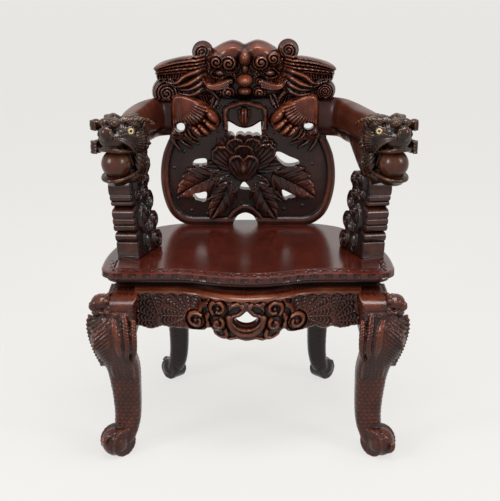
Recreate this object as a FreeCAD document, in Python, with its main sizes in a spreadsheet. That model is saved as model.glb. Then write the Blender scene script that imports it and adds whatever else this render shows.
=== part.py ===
"""Carved hardwood horseshoe back armchair with dragon arms.

Frame: millimetres, +Z up, the sitter faces -Y, +X is on the right as seen from the front.
The origin is on the floor under the middle of the chair.
"""

import FreeCAD, Part

import math
import os

from FreeCAD import Placement, Rotation, Vector

# The driving dimensions: name, value in millimetres (degrees for angles), what it is.
SIZES = [
    ("seat_height", 440, "floor to the top of the seat board"),
    ("seat_thickness", 16, "seat board"),
    ("seat_half_width", 346, "middle to the widest point of the seat"),
    ("seat_front", 222, "origin to the front of the serpentine"),
    ("seat_rear", 277, "origin to the back of the seat"),
    ("seat_bulge", 36, "how far the serpentine swells past the flat front"),
    ("seat_corner", 84, "radius of the front corners"),
    ("seat_edge_round", 3, "rounding of the seat board edge"),
    ("moulding_height", 14, "upper step of the moulding under the seat"),
    ("moulding_inset", 10, "upper step, in from the seat edge"),
    ("waist_height", 14, "recessed waist between moulding and apron"),
    ("waist_inset", 32, "waist, in from the seat edge"),
    ("moulding_inner_inset", 76, "inside face of the moulding, in from the seat edge"),
    ("mitre_front", 250, "front mitre point, from the middle"),
    ("apron_height", 98, "front apron, top to the common lobe line"),
    ("apron_thickness", 28, "carved face of an apron"),
    ("apron_front", 234, "origin to the front apron at its middle"),
    ("apron_bulge", 60, "swell of the front apron"),
    ("apron_swell_half", 180, "half length of that swell"),
    ("shoulder_height", 18, "ledge at the top of an apron that carries the waist"),
    ("shoulder_reach", 84, "depth of that ledge on the front apron at its middle"),
    ("crescent_half", 26, "half width of the pierced crescent"),
    ("crescent_rise", 14, "rise of the pierced crescent"),
    ("crescent_drop", 24, "fall of the pierced crescent"),
    ("crescent_level", 54, "crescent, down from the apron top"),
    ("scroll_boss", 17, "radius of a cloud scroll on the apron"),
    ("scroll_relief", 6, "how far a cloud scroll stands out"),
    ("side_apron_height", 92, "side and rear aprons, top to the common lobe line"),
    ("side_apron_bow", 18, "outward bow of a side apron"),
    ("tenon_length", 20, "tenons of the aprons"),
    ("tenon_thickness", 12, "tenons of the aprons"),
    ("tenon_height", 50, "tenons of the aprons"),
    ("tenon_drop", 20, "tenons, down from the apron top"),
    ("joint_gap", 0.3, "clearance round a tenon, peg or socket"),
    ("cut_over", 40, "overrun of a cutting solid"),
    ("front_leg_x", 285, "front ankle, from the middle"),
    ("front_leg_y", 206, "front ankle, from the origin"),
    ("block_width", 73, "square stump at the top of a front leg"),
    ("block_inner_x", 262, "inner side of that stump"),
    ("block_front_y", 236, "front side of that stump"),
    ("block_back_y", 120, "rear side of that stump"),
    ("block_drop", 110, "height of that stump"),
    ("block_round", 12, "rounded corners of that stump"),
    ("knee_size", 50, "half width of the leg at its knee"),
    ("ankle_size", 29, "half width of the leg at its ankle"),
    ("knee_kick", 28, "knee, out from the ankle along X and Y"),
    ("foot_kick", 26, "foot scroll, out from the ankle along X and Y"),
    ("foot_radius", 32, "foot scroll"),
    ("foot_width", 50, "foot scroll, along its axis"),
    ("foot_level", 37, "centre of the foot scroll above the floor"),
    ("rear_leg_x", 188, "rear ankle, from the middle"),
    ("rear_leg_y", 198, "rear ankle, from the origin"),
    ("rear_block", 62, "square stump at the top of a rear leg"),
    ("rear_block_x", 165, "inner side of that stump"),
    ("rear_block_y", 160, "front side of that stump"),
    ("rear_knee_size", 36, "half width of the rear leg at its knee"),
    ("rear_ankle_size", 24, "half width of the rear leg at its ankle"),
    ("rear_knee_kick", 10, "rear knee, out from the ankle"),
    ("rear_foot_kick", 22, "rear foot scroll, out from the ankle"),
    ("rear_foot_radius", 29, "rear foot scroll"),
    ("rear_foot_width", 42, "rear foot scroll, along its axis"),
    ("lion_size", 33, "lion head on a front knee, its radius"),
    ("wing_length", 74, "half length of the feathered wing on a front knee"),
    ("corner_block_size", 44, "sides of a corner block"),
    ("corner_block_height", 40, "corner block"),
    ("batten_width", 40, "battens under the seat"),
    ("batten_thickness", 14, "battens under the seat"),
    ("batten_half_length", 190, "battens under the seat"),
    ("batten_front_y", 62, "front batten, from the origin"),
    ("batten_rear_y", 96, "rear batten, from the origin"),
    ("screw_radius", 2.2, "shank of a wood screw"),
    ("screw_head_radius", 4.4, "head of a wood screw"),
    ("screw_head_height", 3, "head of a wood screw"),
    ("screw_length", 26, "wood screw"),
    ("screw_gap", 0.1, "clearance round a wood screw"),
    ("splat_half_width", 228, "pierced back panel"),
    ("splat_height", 232, "seat to the joint under the crest"),
    ("splat_thickness", 34, "pierced back panel"),
    ("splat_front_y", 220, "front face of the back panel"),
    ("rim_width", 20, "raised rim of the back panel"),
    ("rim_relief", 6, "how far that rim stands out"),
    ("shoulder_half", 205, "half width of the panel where it meets the crest"),
    ("shoulder_level", 118, "height of the crest shoulders above that joint"),
    ("flower_size", 100, "peony, half its width"),
    ("flower_level", 180, "peony, above the seat"),
    ("carving_offset", 7, "hand carving lies this far left of the middle"),
    ("crest_height", 493, "seat to the top of the crest"),
    ("mask_width", 200, "lion mask"),
    ("mask_level", 405, "middle of the lion mask above the seat"),
    ("gate_half", 44, "inside of the arched mouth frame, half width"),
    ("gate_band", 17, "width of the arched mouth frame"),
    ("gate_relief", 9, "how far that frame stands out"),
    ("gate_level", 88, "springing of the arch above the joint"),
    ("gate_rise", 22, "rise of the arch"),
    ("gate_recess", 12, "depth of the dark field in the arch"),
    ("mane_length", 130, "mane tuft beside the mask"),
    ("paw_length", 112, "paw gripping the back panel"),
    ("arm_size", 56, "half height of the arm at its elbow"),
    ("arm_level", 302, "arm above the seat at its elbow"),
    ("post_thickness", 58, "cloud scroll arm support, across"),
    ("post_depth", 112, "cloud scroll arm support, front to back at its foot"),
    ("post_height", 196, "cloud scroll arm support"),
    ("left_post_inset", 59, "front of the left support, in from the end of the seat"),
    ("right_post_inset", 45, "front of the right support, in from the end of the seat"),
    ("post_y", 63, "front of the support, from the origin"),
    ("post_turn", 22, "plan angle of the support, degrees"),
    ("post_lean", 4, "outward lean of the support, degrees"),
    ("post_tenon_length", 70, "tenon into the seat"),
    ("post_tenon_width", 24, "tenon into the seat"),
    ("splat_tenon_length", 70, "tenon of the back panel into the seat"),
    ("splat_tenon_width", 18, "tenon of the back panel into the seat"),
    ("splat_tenon_x", 95, "tenon of the back panel, from the middle"),
    ("dowel_radius", 5, "pegs"),
    ("dowel_half", 22, "half length of a peg"),
    ("head_length", 130, "dragon head"),
    ("left_head_inset", 67, "left dragon head, in from the end of the seat"),
    ("left_head_y", 96, "left dragon head, from the origin"),
    ("left_head_turn", 25, "left dragon head turned outward, degrees"),
    ("right_head_inset", 35, "right dragon head, in from the end of the seat"),
    ("right_head_y", 96, "right dragon head, from the origin"),
    ("right_head_turn", 25, "right dragon head turned outward, degrees"),
    ("head_level", 302, "dragon heads above the seat"),
    ("neck_setback", 30, "joint of head and neck, behind the head centre"),
    ("pearl_radius", 34, "pearl in the dragon's mouth"),
    ("pearl_forward", 55, "pearl, ahead of the head centre"),
    ("pearl_drop", 51, "pearl, below the head centre"),
    ("eye_radius", 6.5, "bone eye"),
    ("eye_length", 9, "bone eye, along its axis"),
    ("pupil_radius", 2.6, "dark pupil"),
    ("pupil_length", 4, "dark pupil"),
]

doc = FreeCAD.newDocument("armchair")
sheet = doc.addObject("Spreadsheet::Sheet", "sizes")
for row, (alias, amount, note) in enumerate(SIZES, start=1):
    sheet.set(f"A{row}", alias)
    sheet.set(f"B{row}", str(amount))
    sheet.setAlias(f"B{row}", alias)
    sheet.set(f"C{row}", note)
doc.recompute()

NODES = []
X_AXIS, Y_AXIS, Z_AXIS = Vector(1, 0, 0), Vector(0, 1, 0), Vector(0, 0, 1)
LEFT, RIGHT = -1, 1
HALF = 0.5


def mm(alias):
    """The value of one driving dimension."""
    return float(sheet.get(alias))


def keep(thing, label):
    """Names a finished sub-part; its label becomes the file's name."""
    thing.Label = label
    NODES.append(thing)
    return thing


# Levels and places that several pieces share.
SEAT_UNDER = mm("seat_height") - mm("seat_thickness")
WAIST_TOP = SEAT_UNDER - mm("moulding_height")
BASE_TOP = WAIST_TOP - mm("waist_height")
FLAT_FRONT = -(mm("seat_front") - mm("seat_bulge"))
CREST_JOINT = mm("seat_height") + mm("splat_height")
SHOULDER_TOP = CREST_JOINT + mm("shoulder_level")
MASK_X = -mm("carving_offset")
MASK_Z = mm("seat_height") + mm("mask_level")
SPLAT_FRONT = mm("splat_front_y")
SPLAT_REAR = SPLAT_FRONT + mm("splat_thickness")
POST_TOP = mm("seat_height") + mm("post_height")
FAR = 3 * (mm("seat_height") + mm("crest_height"))
UPRIGHT = Rotation(X_AXIS, 90)


# Small builders.
def line(start, end):
    """A straight edge between two points given as (x, y)."""
    return Part.LineSegment(Vector(*start, 0), Vector(*end, 0))


def arc(start, middle, end):
    """A round edge through three points given as (x, y)."""
    return Part.Arc(Vector(*start, 0), Vector(*middle, 0), Vector(*end, 0))


def ring_of(points):
    """Straight edges that close a polygon."""
    return [line(p, q) for p, q in zip(points, points[1:] + points[:1])]


def padded(name, edges, height, place=Placement(), length_alias=None):
    """A body whose closed outline lies in its own XY plane and is padded along +Z."""
    body = doc.addObject("PartDesign::Body", name)
    sketch = body.newObject("Sketcher::SketchObject", name + "_outline")
    plane = [f for f in body.Origin.OriginFeatures if f.Role == "XY_Plane"][0]
    sketch.AttachmentSupport = (plane, [""])
    sketch.MapMode = "FlatFace"
    sketch.addGeometry(edges, False)
    pad = body.newObject("PartDesign::Pad", name + "_pad")
    pad.Profile = sketch
    if length_alias:
        pad.setExpression("Length", f"sizes.{length_alias}")
    else:
        pad.Length = height
    body.Placement = place
    return body


def brick(name, low, high, place=Placement()):
    """A box between two corners, then moved by a placement."""
    thing = doc.addObject("Part::Box", name)
    thing.Length, thing.Width, thing.Height = (b - a for a, b in zip(low, high))
    thing.Placement = place.multiply(Placement(Vector(*low), Rotation()))
    return thing


def peg(name, centre, axis, radius, half_length):
    """A cylinder centred on a point."""
    thing = doc.addObject("Part::Cylinder", name)
    thing.Radius = radius
    thing.Height = 2 * half_length
    turn = Rotation(Z_AXIS, axis)
    start = centre - axis.normalize() * half_length
    thing.Placement = Placement(start, turn)
    return thing


def mass(name, unit, share, origin, frame=Rotation(), side=RIGHT, spin=0):
    """One rounded mass of a carving, in shares of the named unit: x, y, z and radius for a ball,
    and the same again for the far end of a taper. Side -1 mirrors it across X. The spin turns
    a ball on its own middle."""
    size = mm(unit)
    start = Vector(side * share[0], share[1], share[2]) * size
    if len(share) == BALL:
        thing = doc.addObject("Part::Sphere", name)
        thing.setExpression("Radius", f"sizes.{unit} * {share[3]}")
        turn = Rotation(Vector(1, 1, 1), spin)
        thing.Placement = Placement(origin + frame.multVec(start), turn)
        return thing
    end = Vector(side * share[4], share[5], share[6]) * size
    thing = doc.addObject("Part::Cone", name)
    thing.setExpression("Radius1", f"sizes.{unit} * {share[3]}")
    thing.setExpression("Radius2", f"sizes.{unit} * {share[7]}")
    thing.Height = (end - start).Length
    way = frame.multVec(end - start)
    thing.Placement = Placement(origin + frame.multVec(start), Rotation(Z_AXIS, way))
    return thing


BALL = 4
SPIN_STEP = 37


def masses(name, unit, shares, origin, frame=Rotation(), sides=(RIGHT,)):
    """Several masses of one carving. A share whose x is not zero repeats on each side."""
    made = []
    for number, share in enumerate(shares):
        once = len(sides) == 1 or not share[0]
        for side in sides[:1] if once else sides:
            label = f"{name}_{number}{side + 1}"
            spin = SPIN_STEP * (number + 1)
            made.append(mass(label, unit, share, origin, frame, side, spin))
    return made


def relief(name, unit, shares, origin, back, sides=(RIGHT,), pointed=False):
    """Raised work on an upright face. Each share is x, z, half length, half width, tilt in
    degrees and stand-out, all but the tilt as shares of the named unit. It starts at the back
    plane and stands out from the origin's plane. Ends are round, or pointed like a leaf."""
    size = mm(unit)
    made = []
    for number, (x, z, long, wide, tilt, out) in enumerate(shares):
        once = len(sides) == 1 or not x
        for side in sides[:1] if once else sides:
            angle = math.radians(tilt)
            u = (side * math.cos(angle), math.sin(angle))
            v = (-u[1], u[0])

            def at(along, across):
                """A point of the outline from its middle."""
                return (
                    size * (side * x + along * u[0] + across * v[0]),
                    size * (z + along * u[1] + across * v[1]),
                )

            core = long - wide
            if pointed:
                edges = [
                    arc(at(-long, 0), at(0, wide), at(long, 0)),
                    arc(at(long, 0), at(0, -wide), at(-long, 0)),
                ]
            else:
                edges = [
                    line(at(-core, -wide), at(core, -wide)),
                    arc(at(core, -wide), at(long, 0), at(core, wide)),
                    line(at(core, wide), at(-core, wide)),
                    arc(at(-core, wide), at(-long, 0), at(-core, -wide)),
                ]
            depth = back - origin.y + out * size
            place = Placement(Vector(origin.x, back, origin.z), UPRIGHT)
            made.append(padded(f"{name}_{number}{side + 1}", edges, depth, place))
    return made


def curls(name, unit, shares, origin, back, sides):
    """Round spiral curls on an upright face: x, z, radius and stand-out in shares of the unit."""
    size = mm(unit)
    made = []
    for number, (x, z, radius, out) in enumerate(shares):
        for side in sides:
            front = origin.y - out * size
            centre = Vector(origin.x + side * x * size, (back + front) / 2, origin.z + z * size)
            made.append(peg(f"{name}_{number}{side + 1}", centre, Vector(0, -1, 0),
                            radius * size, (back - front) / 2))
    return made


def fused(name, parts):
    """One solid from several."""
    thing = doc.addObject("Part::MultiFuse", name)
    thing.Shapes = parts
    return thing


def cut(name, base, tool):
    """A solid less another, or less several in turn."""
    tools = tool if isinstance(tool, list) else [tool]
    for number, one in enumerate(tools):
        thing = doc.addObject("Part::Cut", name if one is tools[-1] else f"{name}_step{number}")
        thing.Base, thing.Tool = base, one
        base = thing
    return base


def shared(name, one, other):
    """What two solids have in common."""
    thing = doc.addObject("Part::Common", name)
    thing.Base, thing.Tool = one, other
    return thing


def half_space(name, point, normal):
    """A large box that fills everything beyond a plane, on the side its normal points to."""
    thing = doc.addObject("Part::Box", name)
    thing.Length = thing.Width = thing.Height = FAR
    turn = Rotation(Z_AXIS, normal)
    corner = Placement(Vector(-FAR / 2, -FAR / 2, 0), Rotation())
    thing.Placement = Placement(point, turn).multiply(corner)
    return thing


def screws(name, heads, axis):
    """Wood screws from their head points along one axis, and the holes that they need."""
    made, holes = [], []
    gap = mm("screw_gap")
    shank, head = mm("screw_radius"), mm("screw_head_radius")
    length, head_height = mm("screw_length"), mm("screw_head_height")
    for number, point in enumerate(heads):
        turn = Placement(point, Rotation(Z_AXIS, axis))
        for extra, group, tag in ((0, made, "screw"), (gap, holes, "hole")):
            stem = doc.addObject("Part::Cylinder", f"{name}_{tag}{number}")
            stem.Radius, stem.Height = shank + extra, length + extra
            stem.Placement = turn
            cone = doc.addObject("Part::Cone", f"{name}_{tag}_head{number}")
            cone.Radius1, cone.Radius2 = head + extra, shank + extra
            cone.Height = head_height
            cone.Placement = turn
            group.append(fused(f"{name}_{tag}_all{number}", [stem, cone]))
    return made, holes


def compound(name, parts):
    """Several solids that share one node."""
    thing = doc.addObject("Part::Compound", name)
    thing.Links = parts
    return thing


# The seat board's outline, as edges and as an offset wire.
SWELL_SHARES = (0.303, 0.52)
SIDE_SHARES = ((0.951, 0.11), (0.798, 0.586), (0.685, 0.757), (0.512, 0.866))


def serpentine(front, bulge, swell_half, swell_end):
    """The right half of a serpentine front: its crown arc end, reverse arc middle and end."""
    flat = front - bulge
    crown = front - bulge * swell_half / swell_end
    angle = 2 * math.atan(bulge / swell_end)
    radius = (swell_end - swell_half) / math.sin(angle)
    middle_x = swell_end - radius * math.sin(angle / 2)
    middle_y = flat + radius * (1 - math.cos(angle / 2))
    return (swell_half, -crown), (middle_x, -middle_y), (swell_end, -flat)


def mirrored(point):
    """The same point on the left."""
    return (-point[0], point[1])


def seat_edges():
    """The closed outline of the seat, serpentine in front and round at the back."""
    half, rear, radius = mm("seat_half_width"), mm("seat_rear"), mm("seat_corner")
    front, bulge = mm("seat_front"), mm("seat_bulge")
    a, b, c = serpentine(front, bulge, *(half * s for s in SWELL_SHARES))
    corner_start = (half - radius, FLAT_FRONT)
    lean = radius * math.sqrt(HALF)
    corner_middle = (half - radius + lean, FLAT_FRONT + radius - lean)
    corner_end = (half, FLAT_FRONT + radius)
    side_middle, side_end, back_middle, back_end = (
        (half * x, rear * y) for x, y in SIDE_SHARES
    )
    right = [
        (b, a, c),
        (None, c, corner_start),
        (corner_middle, corner_start, corner_end),
        (side_middle, corner_end, side_end),
        (back_middle, side_end, back_end),
    ]
    edges = [arc(mirrored(a), (0, -front), a)]
    for middle, start, end in right:
        edges.append(arc(start, middle, end) if middle else line(start, end))
    edges.append(arc(back_end, (0, rear), mirrored(back_end)))
    for middle, start, end in reversed(right):
        start, end = mirrored(end), mirrored(start)
        edges.append(arc(start, mirrored(middle), end) if middle else line(start, end))
    return edges


def seat_prism(name, inset, low, high):
    """The seat outline drawn in by an inset, padded between two levels."""
    wire = Part.Wire([e.toShape() for e in seat_edges()])
    if inset:
        wire = wire.makeOffset2D(-inset)
    thing = doc.addObject("Part::Feature", name)
    thing.Shape = Part.Face(wire).extrude(Vector(0, 0, high - low))
    thing.Placement = Placement(Vector(0, 0, low), Rotation())
    return thing


def post_frame(side):
    """The placement of an arm support: its foot's front middle, turned in plan."""
    tag = "left" if side == LEFT else "right"
    turn = Rotation(Z_AXIS, side * mm("post_turn"))
    across = mm("seat_half_width") - mm(tag + "_post_inset")
    foot = Vector(side * across, -mm("post_y"), mm("seat_height"))
    return Placement(foot, turn)


def post_tenon(name, side, gap):
    """The tenon of an arm support in the seat, or its mortise if gap is not zero."""
    half = mm("post_tenon_width") / 2 + gap
    start = (mm("post_depth") - mm("post_tenon_length")) / 2
    deep = mm("seat_thickness") - mm("seat_edge_round") if not gap else mm("seat_thickness")
    low = (-half, start - gap, -deep)
    high = (half, start + mm("post_tenon_length") + gap, gap)
    return brick(name, low, high if gap else (half, high[1], mm("joint_gap")), post_frame(side))


def splat_tenons(name, gap):
    """The two tenons of the back panel, or their mortises if gap is not zero."""
    middle = SPLAT_FRONT + mm("splat_thickness") / 2
    half_long = mm("splat_tenon_length") / 2 + gap
    half_wide = mm("splat_tenon_width") / 2 + gap
    deep = mm("seat_thickness") - mm("seat_edge_round") if not gap else mm("seat_thickness")
    made = []
    for side in (LEFT, RIGHT):
        x = side * mm("splat_tenon_x")
        low = (x - half_long, middle - half_wide, mm("seat_height") - deep)
        high = (x + half_long, middle + half_wide, mm("seat_height") + mm("joint_gap"))
        made.append(brick(f"{name}{side + 1}", low, high))
    return made


def seat_board():
    """The solid seat with its mortises, and the battens screwed under it."""
    blank = padded(
        "seat_blank", seat_edges(), 0,
        Placement(Vector(0, 0, SEAT_UNDER), Rotation()), "seat_thickness",
    )
    doc.recompute()
    rounded = blank
    for tag, upper in (("top", True), ("bottom", False)):
        middle = rounded.Shape.BoundBox.Center.z
        rims = [
            n for n, e in enumerate(rounded.Shape.Edges, start=1)
            if e.BoundBox.ZLength < mm("joint_gap") and (e.CenterOfMass.z > middle) == upper
            and abs(e.CenterOfMass.z - middle) > mm("seat_thickness") / 2 - mm("joint_gap")
        ]
        eased = doc.addObject("Part::Fillet", f"seat_eased_{tag}")
        eased.Base = rounded
        eased.Edges = [(n, mm("seat_edge_round"), mm("seat_edge_round")) for n in rims]
        doc.recompute()
        rounded = eased
    gap = mm("joint_gap")
    mortises = [post_tenon(f"post_mortise{s + 1}", s, gap) for s in (LEFT, RIGHT)]
    mortises += splat_tenons("splat_mortise", gap)
    under = SEAT_UNDER - mm("batten_thickness")
    battens = {}
    heads = []
    for label, y in (
        ("seat_batten_front", -mm("batten_front_y")),
        ("seat_batten_rear", mm("batten_rear_y")),
    ):
        half, wide = mm("batten_half_length"), mm("batten_width") / 2
        corners = [(-half, y - wide), (half, y - wide), (half, y + wide), (-half, y + wide)]
        battens[label] = padded(
            label + "_blank", ring_of(corners), 0,
            Placement(Vector(0, 0, under), Rotation()), "batten_thickness",
        )
        heads += [Vector(x * half, y, under) for x in BATTEN_SCREW_SHARES]
    made, holes = screws("batten_screw", heads, Z_AXIS)
    hole_group = compound("batten_screw_holes", holes)
    for label, blank_batten in battens.items():
        keep(cut(label + "_bored", blank_batten, hole_group), label)
    keep(compound("batten_screw_set", made), "seat_batten_screws")
    keep(cut("seat_cut", rounded, fused("seat_mortises", mortises + holes)), "seat_board")


BATTEN_SCREW_SHARES = (-0.85, -0.3, 0.3, 0.85)


def mouldings():
    """The stepped moulding and waist under the seat, mitred into four rails."""
    inner = seat_prism("moulding_inside", mm("moulding_inner_inset"), BASE_TOP, SEAT_UNDER)
    upper = seat_prism("moulding_upper", mm("moulding_inset"), WAIST_TOP, SEAT_UNDER)
    waist = seat_prism("moulding_waist", mm("waist_inset"), BASE_TOP, SEAT_UNDER)
    ring = cut("moulding_ring", fused("moulding_outside", [upper, waist]), inner)
    corner_x = mm("mitre_front")
    corners = {
        "front": [(0, 0), (-corner_x * 2, FLAT_FRONT * 2), (corner_x * 2, FLAT_FRONT * 2)],
        "rear": [(0, 0), (corner_x * 2, mm("seat_rear") * 2), (-corner_x * 2, mm("seat_rear") * 2)],
        "right": [(0, 0), (corner_x * 2, FLAT_FRONT * 2), (FAR, 0), (corner_x * 2, mm("seat_rear") * 2)],
        "left": [(0, 0), (-corner_x * 2, mm("seat_rear") * 2), (-FAR, 0), (-corner_x * 2, FLAT_FRONT * 2)],
    }
    height = SEAT_UNDER - BASE_TOP
    for side, points in corners.items():
        wedge = padded(
            f"mitre_{side}", ring_of(points), height,
            Placement(Vector(0, 0, BASE_TOP), Rotation()),
        )
        keep(shared(f"moulding_{side}_cut", ring, wedge), f"moulding_{side}")


# The front apron's lower edge from the middle outwards: cusps, and the lobes between them.
# Each x is a share of block_inner_x and each fall a share of apron_height.
CUSP_SHARES = ((0, 1.05), (0.325, 0.89), (0.61, 0.93), (0.765, 0.95), (1, 0.95))
LOBE_SHARES = ((0.16, 1.14), (0.45, 1.05), (0.68, 1.02), (0.87, 1.03))
APRON_SCROLL_SHARES = ((0.255, 0.28), (0.45, 0.73), (0.255, 0.72))


def lobed_edges(half, height):
    """An apron's face: straight top, lobed bottom. Local X along the apron, Y up, top at 0."""
    cusps = [(half * x, -height * y) for x, y in CUSP_SHARES]
    lobes = [(half * x, -height * y) for x, y in LOBE_SHARES]
    edges = []
    for start, middle, end in zip(cusps, lobes, cusps[1:]):
        edges.append(arc(start, middle, end))
        edges.append(arc(mirrored(start), mirrored(middle), mirrored(end)))
    edges.append(line(cusps[-1], (half, 0)))
    edges.append(line((half, 0), (-half, 0)))
    edges.append(line((-half, 0), mirrored(cusps[-1])))
    return edges


def apron_tenon(name, end, along, gap):
    """A tenon at an apron's end, or its mortise if gap is not zero. along is +-X or +-Y."""
    thick = mm("tenon_thickness") / 2 + gap
    top = BASE_TOP - mm("tenon_drop") + gap
    bottom = top - mm("tenon_height") - 2 * gap
    length = mm("tenon_length") + gap
    turn = Rotation(X_AXIS, along)
    low = (-mm("joint_gap"), -thick, bottom)
    if gap:
        low = (0, -thick, bottom)
    return brick(name, low, (length, thick, top), Placement(Vector(*end, 0), turn))


def front_apron_ends():
    """The middle of the front apron's two end faces, with the way that each tenon points."""
    y = -(mm("apron_front") - mm("apron_bulge")) + mm("apron_thickness") / 2
    return [((s * mm("block_inner_x"), y), Vector(s, 0, 0)) for s in (LEFT, RIGHT)]


def side_apron_points(side):
    """A side apron in plan: outer front, outer middle and outer rear."""
    front_x = mm("block_inner_x") + mm("block_width") - mm("block_round")
    rear_x = mm("rear_block_x") + mm("rear_block") - mm("block_round") / 2
    front_y, rear_y = -mm("block_back_y"), mm("rear_block_y")
    bow = (front_x + rear_x) / 2 + mm("side_apron_bow")
    return (
        (side * front_x, front_y),
        (side * bow, (front_y + rear_y) / 2),
        (side * rear_x, rear_y),
    )


def side_apron_ends(side):
    """The middle of a side apron's two end faces, with the way that each tenon points."""
    front, _, rear = side_apron_points(side)
    inward = side * mm("apron_thickness") / 2
    return [
        ((front[0] - inward, front[1]), Vector(0, -1, 0)),
        ((rear[0] - inward, rear[1]), Vector(0, 1, 0)),
    ]


def rear_apron_ends():
    """The middle of the rear apron's two end faces, with the way that each tenon points."""
    y = mm("rear_block_y") + mm("rear_block") / 2
    return [((s * mm("rear_block_x"), y), Vector(s, 0, 0)) for s in (LEFT, RIGHT)]


def all_apron_ends():
    """Every tenon in the base."""
    ends = front_apron_ends() + rear_apron_ends()
    for side in (LEFT, RIGHT):
        ends += side_apron_ends(side)
    return ends


def front_apron():
    """Serpentine board with a lobed lower edge, a pierced crescent and cloud scrolls."""
    half, front = mm("block_inner_x"), mm("apron_front")
    bulge, thick = mm("apron_bulge"), mm("apron_thickness")
    swell_end = mm("apron_swell_half")
    swell_half = swell_end * SWELL_SHARES[0] / SWELL_SHARES[1]
    a, b, c = serpentine(front, bulge, swell_half, swell_end)

    def face_line(shift):
        """The plan curve of the carved face, moved back by a shift."""
        moved = [(x, y + shift) for x, y in (a, b, c)]
        crown = (0, -front + shift)
        edges = [arc(mirrored(moved[0]), crown, moved[0]), arc(*moved)]
        edges += [arc(*(mirrored(p) for p in moved))]
        flat = moved[2][1]
        edges += [line(moved[2], (half, flat)), line(mirrored(moved[2]), (-half, flat))]
        return edges, flat

    outer, outer_y = face_line(0)
    inner, inner_y = face_line(thick)
    back_y = -front + mm("shoulder_reach")
    ends = [line((s * half, outer_y), (s * half, inner_y)) for s in (LEFT, RIGHT)]
    depth = mm("apron_height") + mm("cut_over")
    face = padded(
        "front_apron_plan", outer + inner + ends, depth,
        Placement(Vector(0, 0, BASE_TOP - depth), Rotation()),
    )
    ledge_ends = [line((s * half, outer_y), (s * half, back_y)) for s in (LEFT, RIGHT)]
    ledge = padded(
        "front_apron_ledge", outer + ledge_ends + [line((-half, back_y), (half, back_y))], 0,
        Placement(Vector(0, 0, BASE_TOP - mm("shoulder_height")), Rotation()), "shoulder_height",
    )
    lobed = padded(
        "front_apron_lobes", lobed_edges(half, mm("apron_height")), 2 * front,
        Placement(Vector(0, 0, BASE_TOP), UPRIGHT),
    )
    board = shared("front_apron_board", fused("front_apron_solid", [face, ledge]), lobed)
    x, level = MASK_X * HALF, BASE_TOP - mm("crescent_level")
    wide = mm("crescent_half")
    crescent = padded(
        "crescent_hole",
        [
            arc((x - wide, 0), (x, mm("crescent_rise")), (x + wide, 0)),
            arc((x - wide, 0), (x, -mm("crescent_drop")), (x + wide, 0)),
        ],
        2 * front, Placement(Vector(0, 0, level), UPRIGHT),
    )
    scrolls = []
    for side in (LEFT, RIGHT):
        for number, (share_x, share_z) in enumerate(APRON_SCROLL_SHARES):
            centre_x = side * half * share_x
            level = BASE_TOP - mm("apron_height") * share_z
            reach = abs(centre_x)
            near = front - bulge * min(1, (reach / swell_end) ** 2)
            centre = Vector(centre_x, -near + thick / 2, level)
            scrolls.append(
                peg(f"apron_scroll{side + 1}{number}", centre, Vector(0, -1, 0),
                    mm("scroll_boss"), thick / 2 + mm("scroll_relief"))
            )
    tenons = [
        apron_tenon(f"front_tenon{n}", end, along, 0)
        for n, (end, along) in enumerate(front_apron_ends())
    ]
    solid = fused("front_apron_full", [board] + scrolls + tenons)
    keep(cut("front_apron_pierced", solid, crescent), "apron_front")


def side_apron(side):
    """Bowed board between a front and a rear leg, with a lobed lower edge."""
    tag = "left" if side == LEFT else "right"
    start, middle, end = side_apron_points(side)
    inward = -side * mm("apron_thickness")
    ledge_in = -side * (mm("apron_thickness") + mm("shoulder_height"))
    moved = [(x + inward, y) for x, y in (start, middle, end)]
    ledge_points = [(x + ledge_in, y) for x, y in (start, middle, end)]
    depth = mm("side_apron_height") + mm("cut_over")
    outline = [arc(start, middle, end), arc(*moved), line(start, moved[0]), line(end, moved[2])]
    face = padded(
        f"side_plan_{tag}", outline, depth,
        Placement(Vector(0, 0, BASE_TOP - depth), Rotation()),
    )
    ledge_outline = [
        arc(start, middle, end), arc(*ledge_points),
        line(start, ledge_points[0]), line(end, ledge_points[2]),
    ]
    ledge = padded(
        f"side_ledge_{tag}", ledge_outline, 0,
        Placement(Vector(0, 0, BASE_TOP - mm("shoulder_height")), Rotation()), "shoulder_height",
    )
    half = (end[1] - start[1]) / 2
    middle = Vector(-FAR / 2, (start[1] + end[1]) / 2, BASE_TOP)
    lobed = padded(f"side_lobes_{tag}", lobed_edges(half, mm("side_apron_height")), FAR,
                   Placement(middle, Rotation(Z_AXIS, 90).multiply(UPRIGHT)))
    board = shared(f"side_board_{tag}", fused(f"side_solid_{tag}", [face, ledge]), lobed)
    tenons = [
        apron_tenon(f"side_tenon_{tag}{n}", place, along, 0)
        for n, (place, along) in enumerate(side_apron_ends(side))
    ]
    keep(fused(f"side_full_{tag}", [board] + tenons), f"apron_{tag}")


def rear_apron():
    """Straight board between the rear legs."""
    half, thick = mm("rear_block_x"), mm("apron_thickness")
    middle = mm("rear_block_y") + mm("rear_block") / 2
    board = padded(
        "rear_apron_board", lobed_edges(half, mm("side_apron_height")), 0,
        Placement(Vector(0, middle + thick / 2, BASE_TOP), UPRIGHT), "apron_thickness",
    )
    tenons = [
        apron_tenon(f"rear_tenon{n}", end, along, 0)
        for n, (end, along) in enumerate(rear_apron_ends())
    ]
    keep(fused("rear_apron_full", [board] + tenons), "apron_rear")


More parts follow.
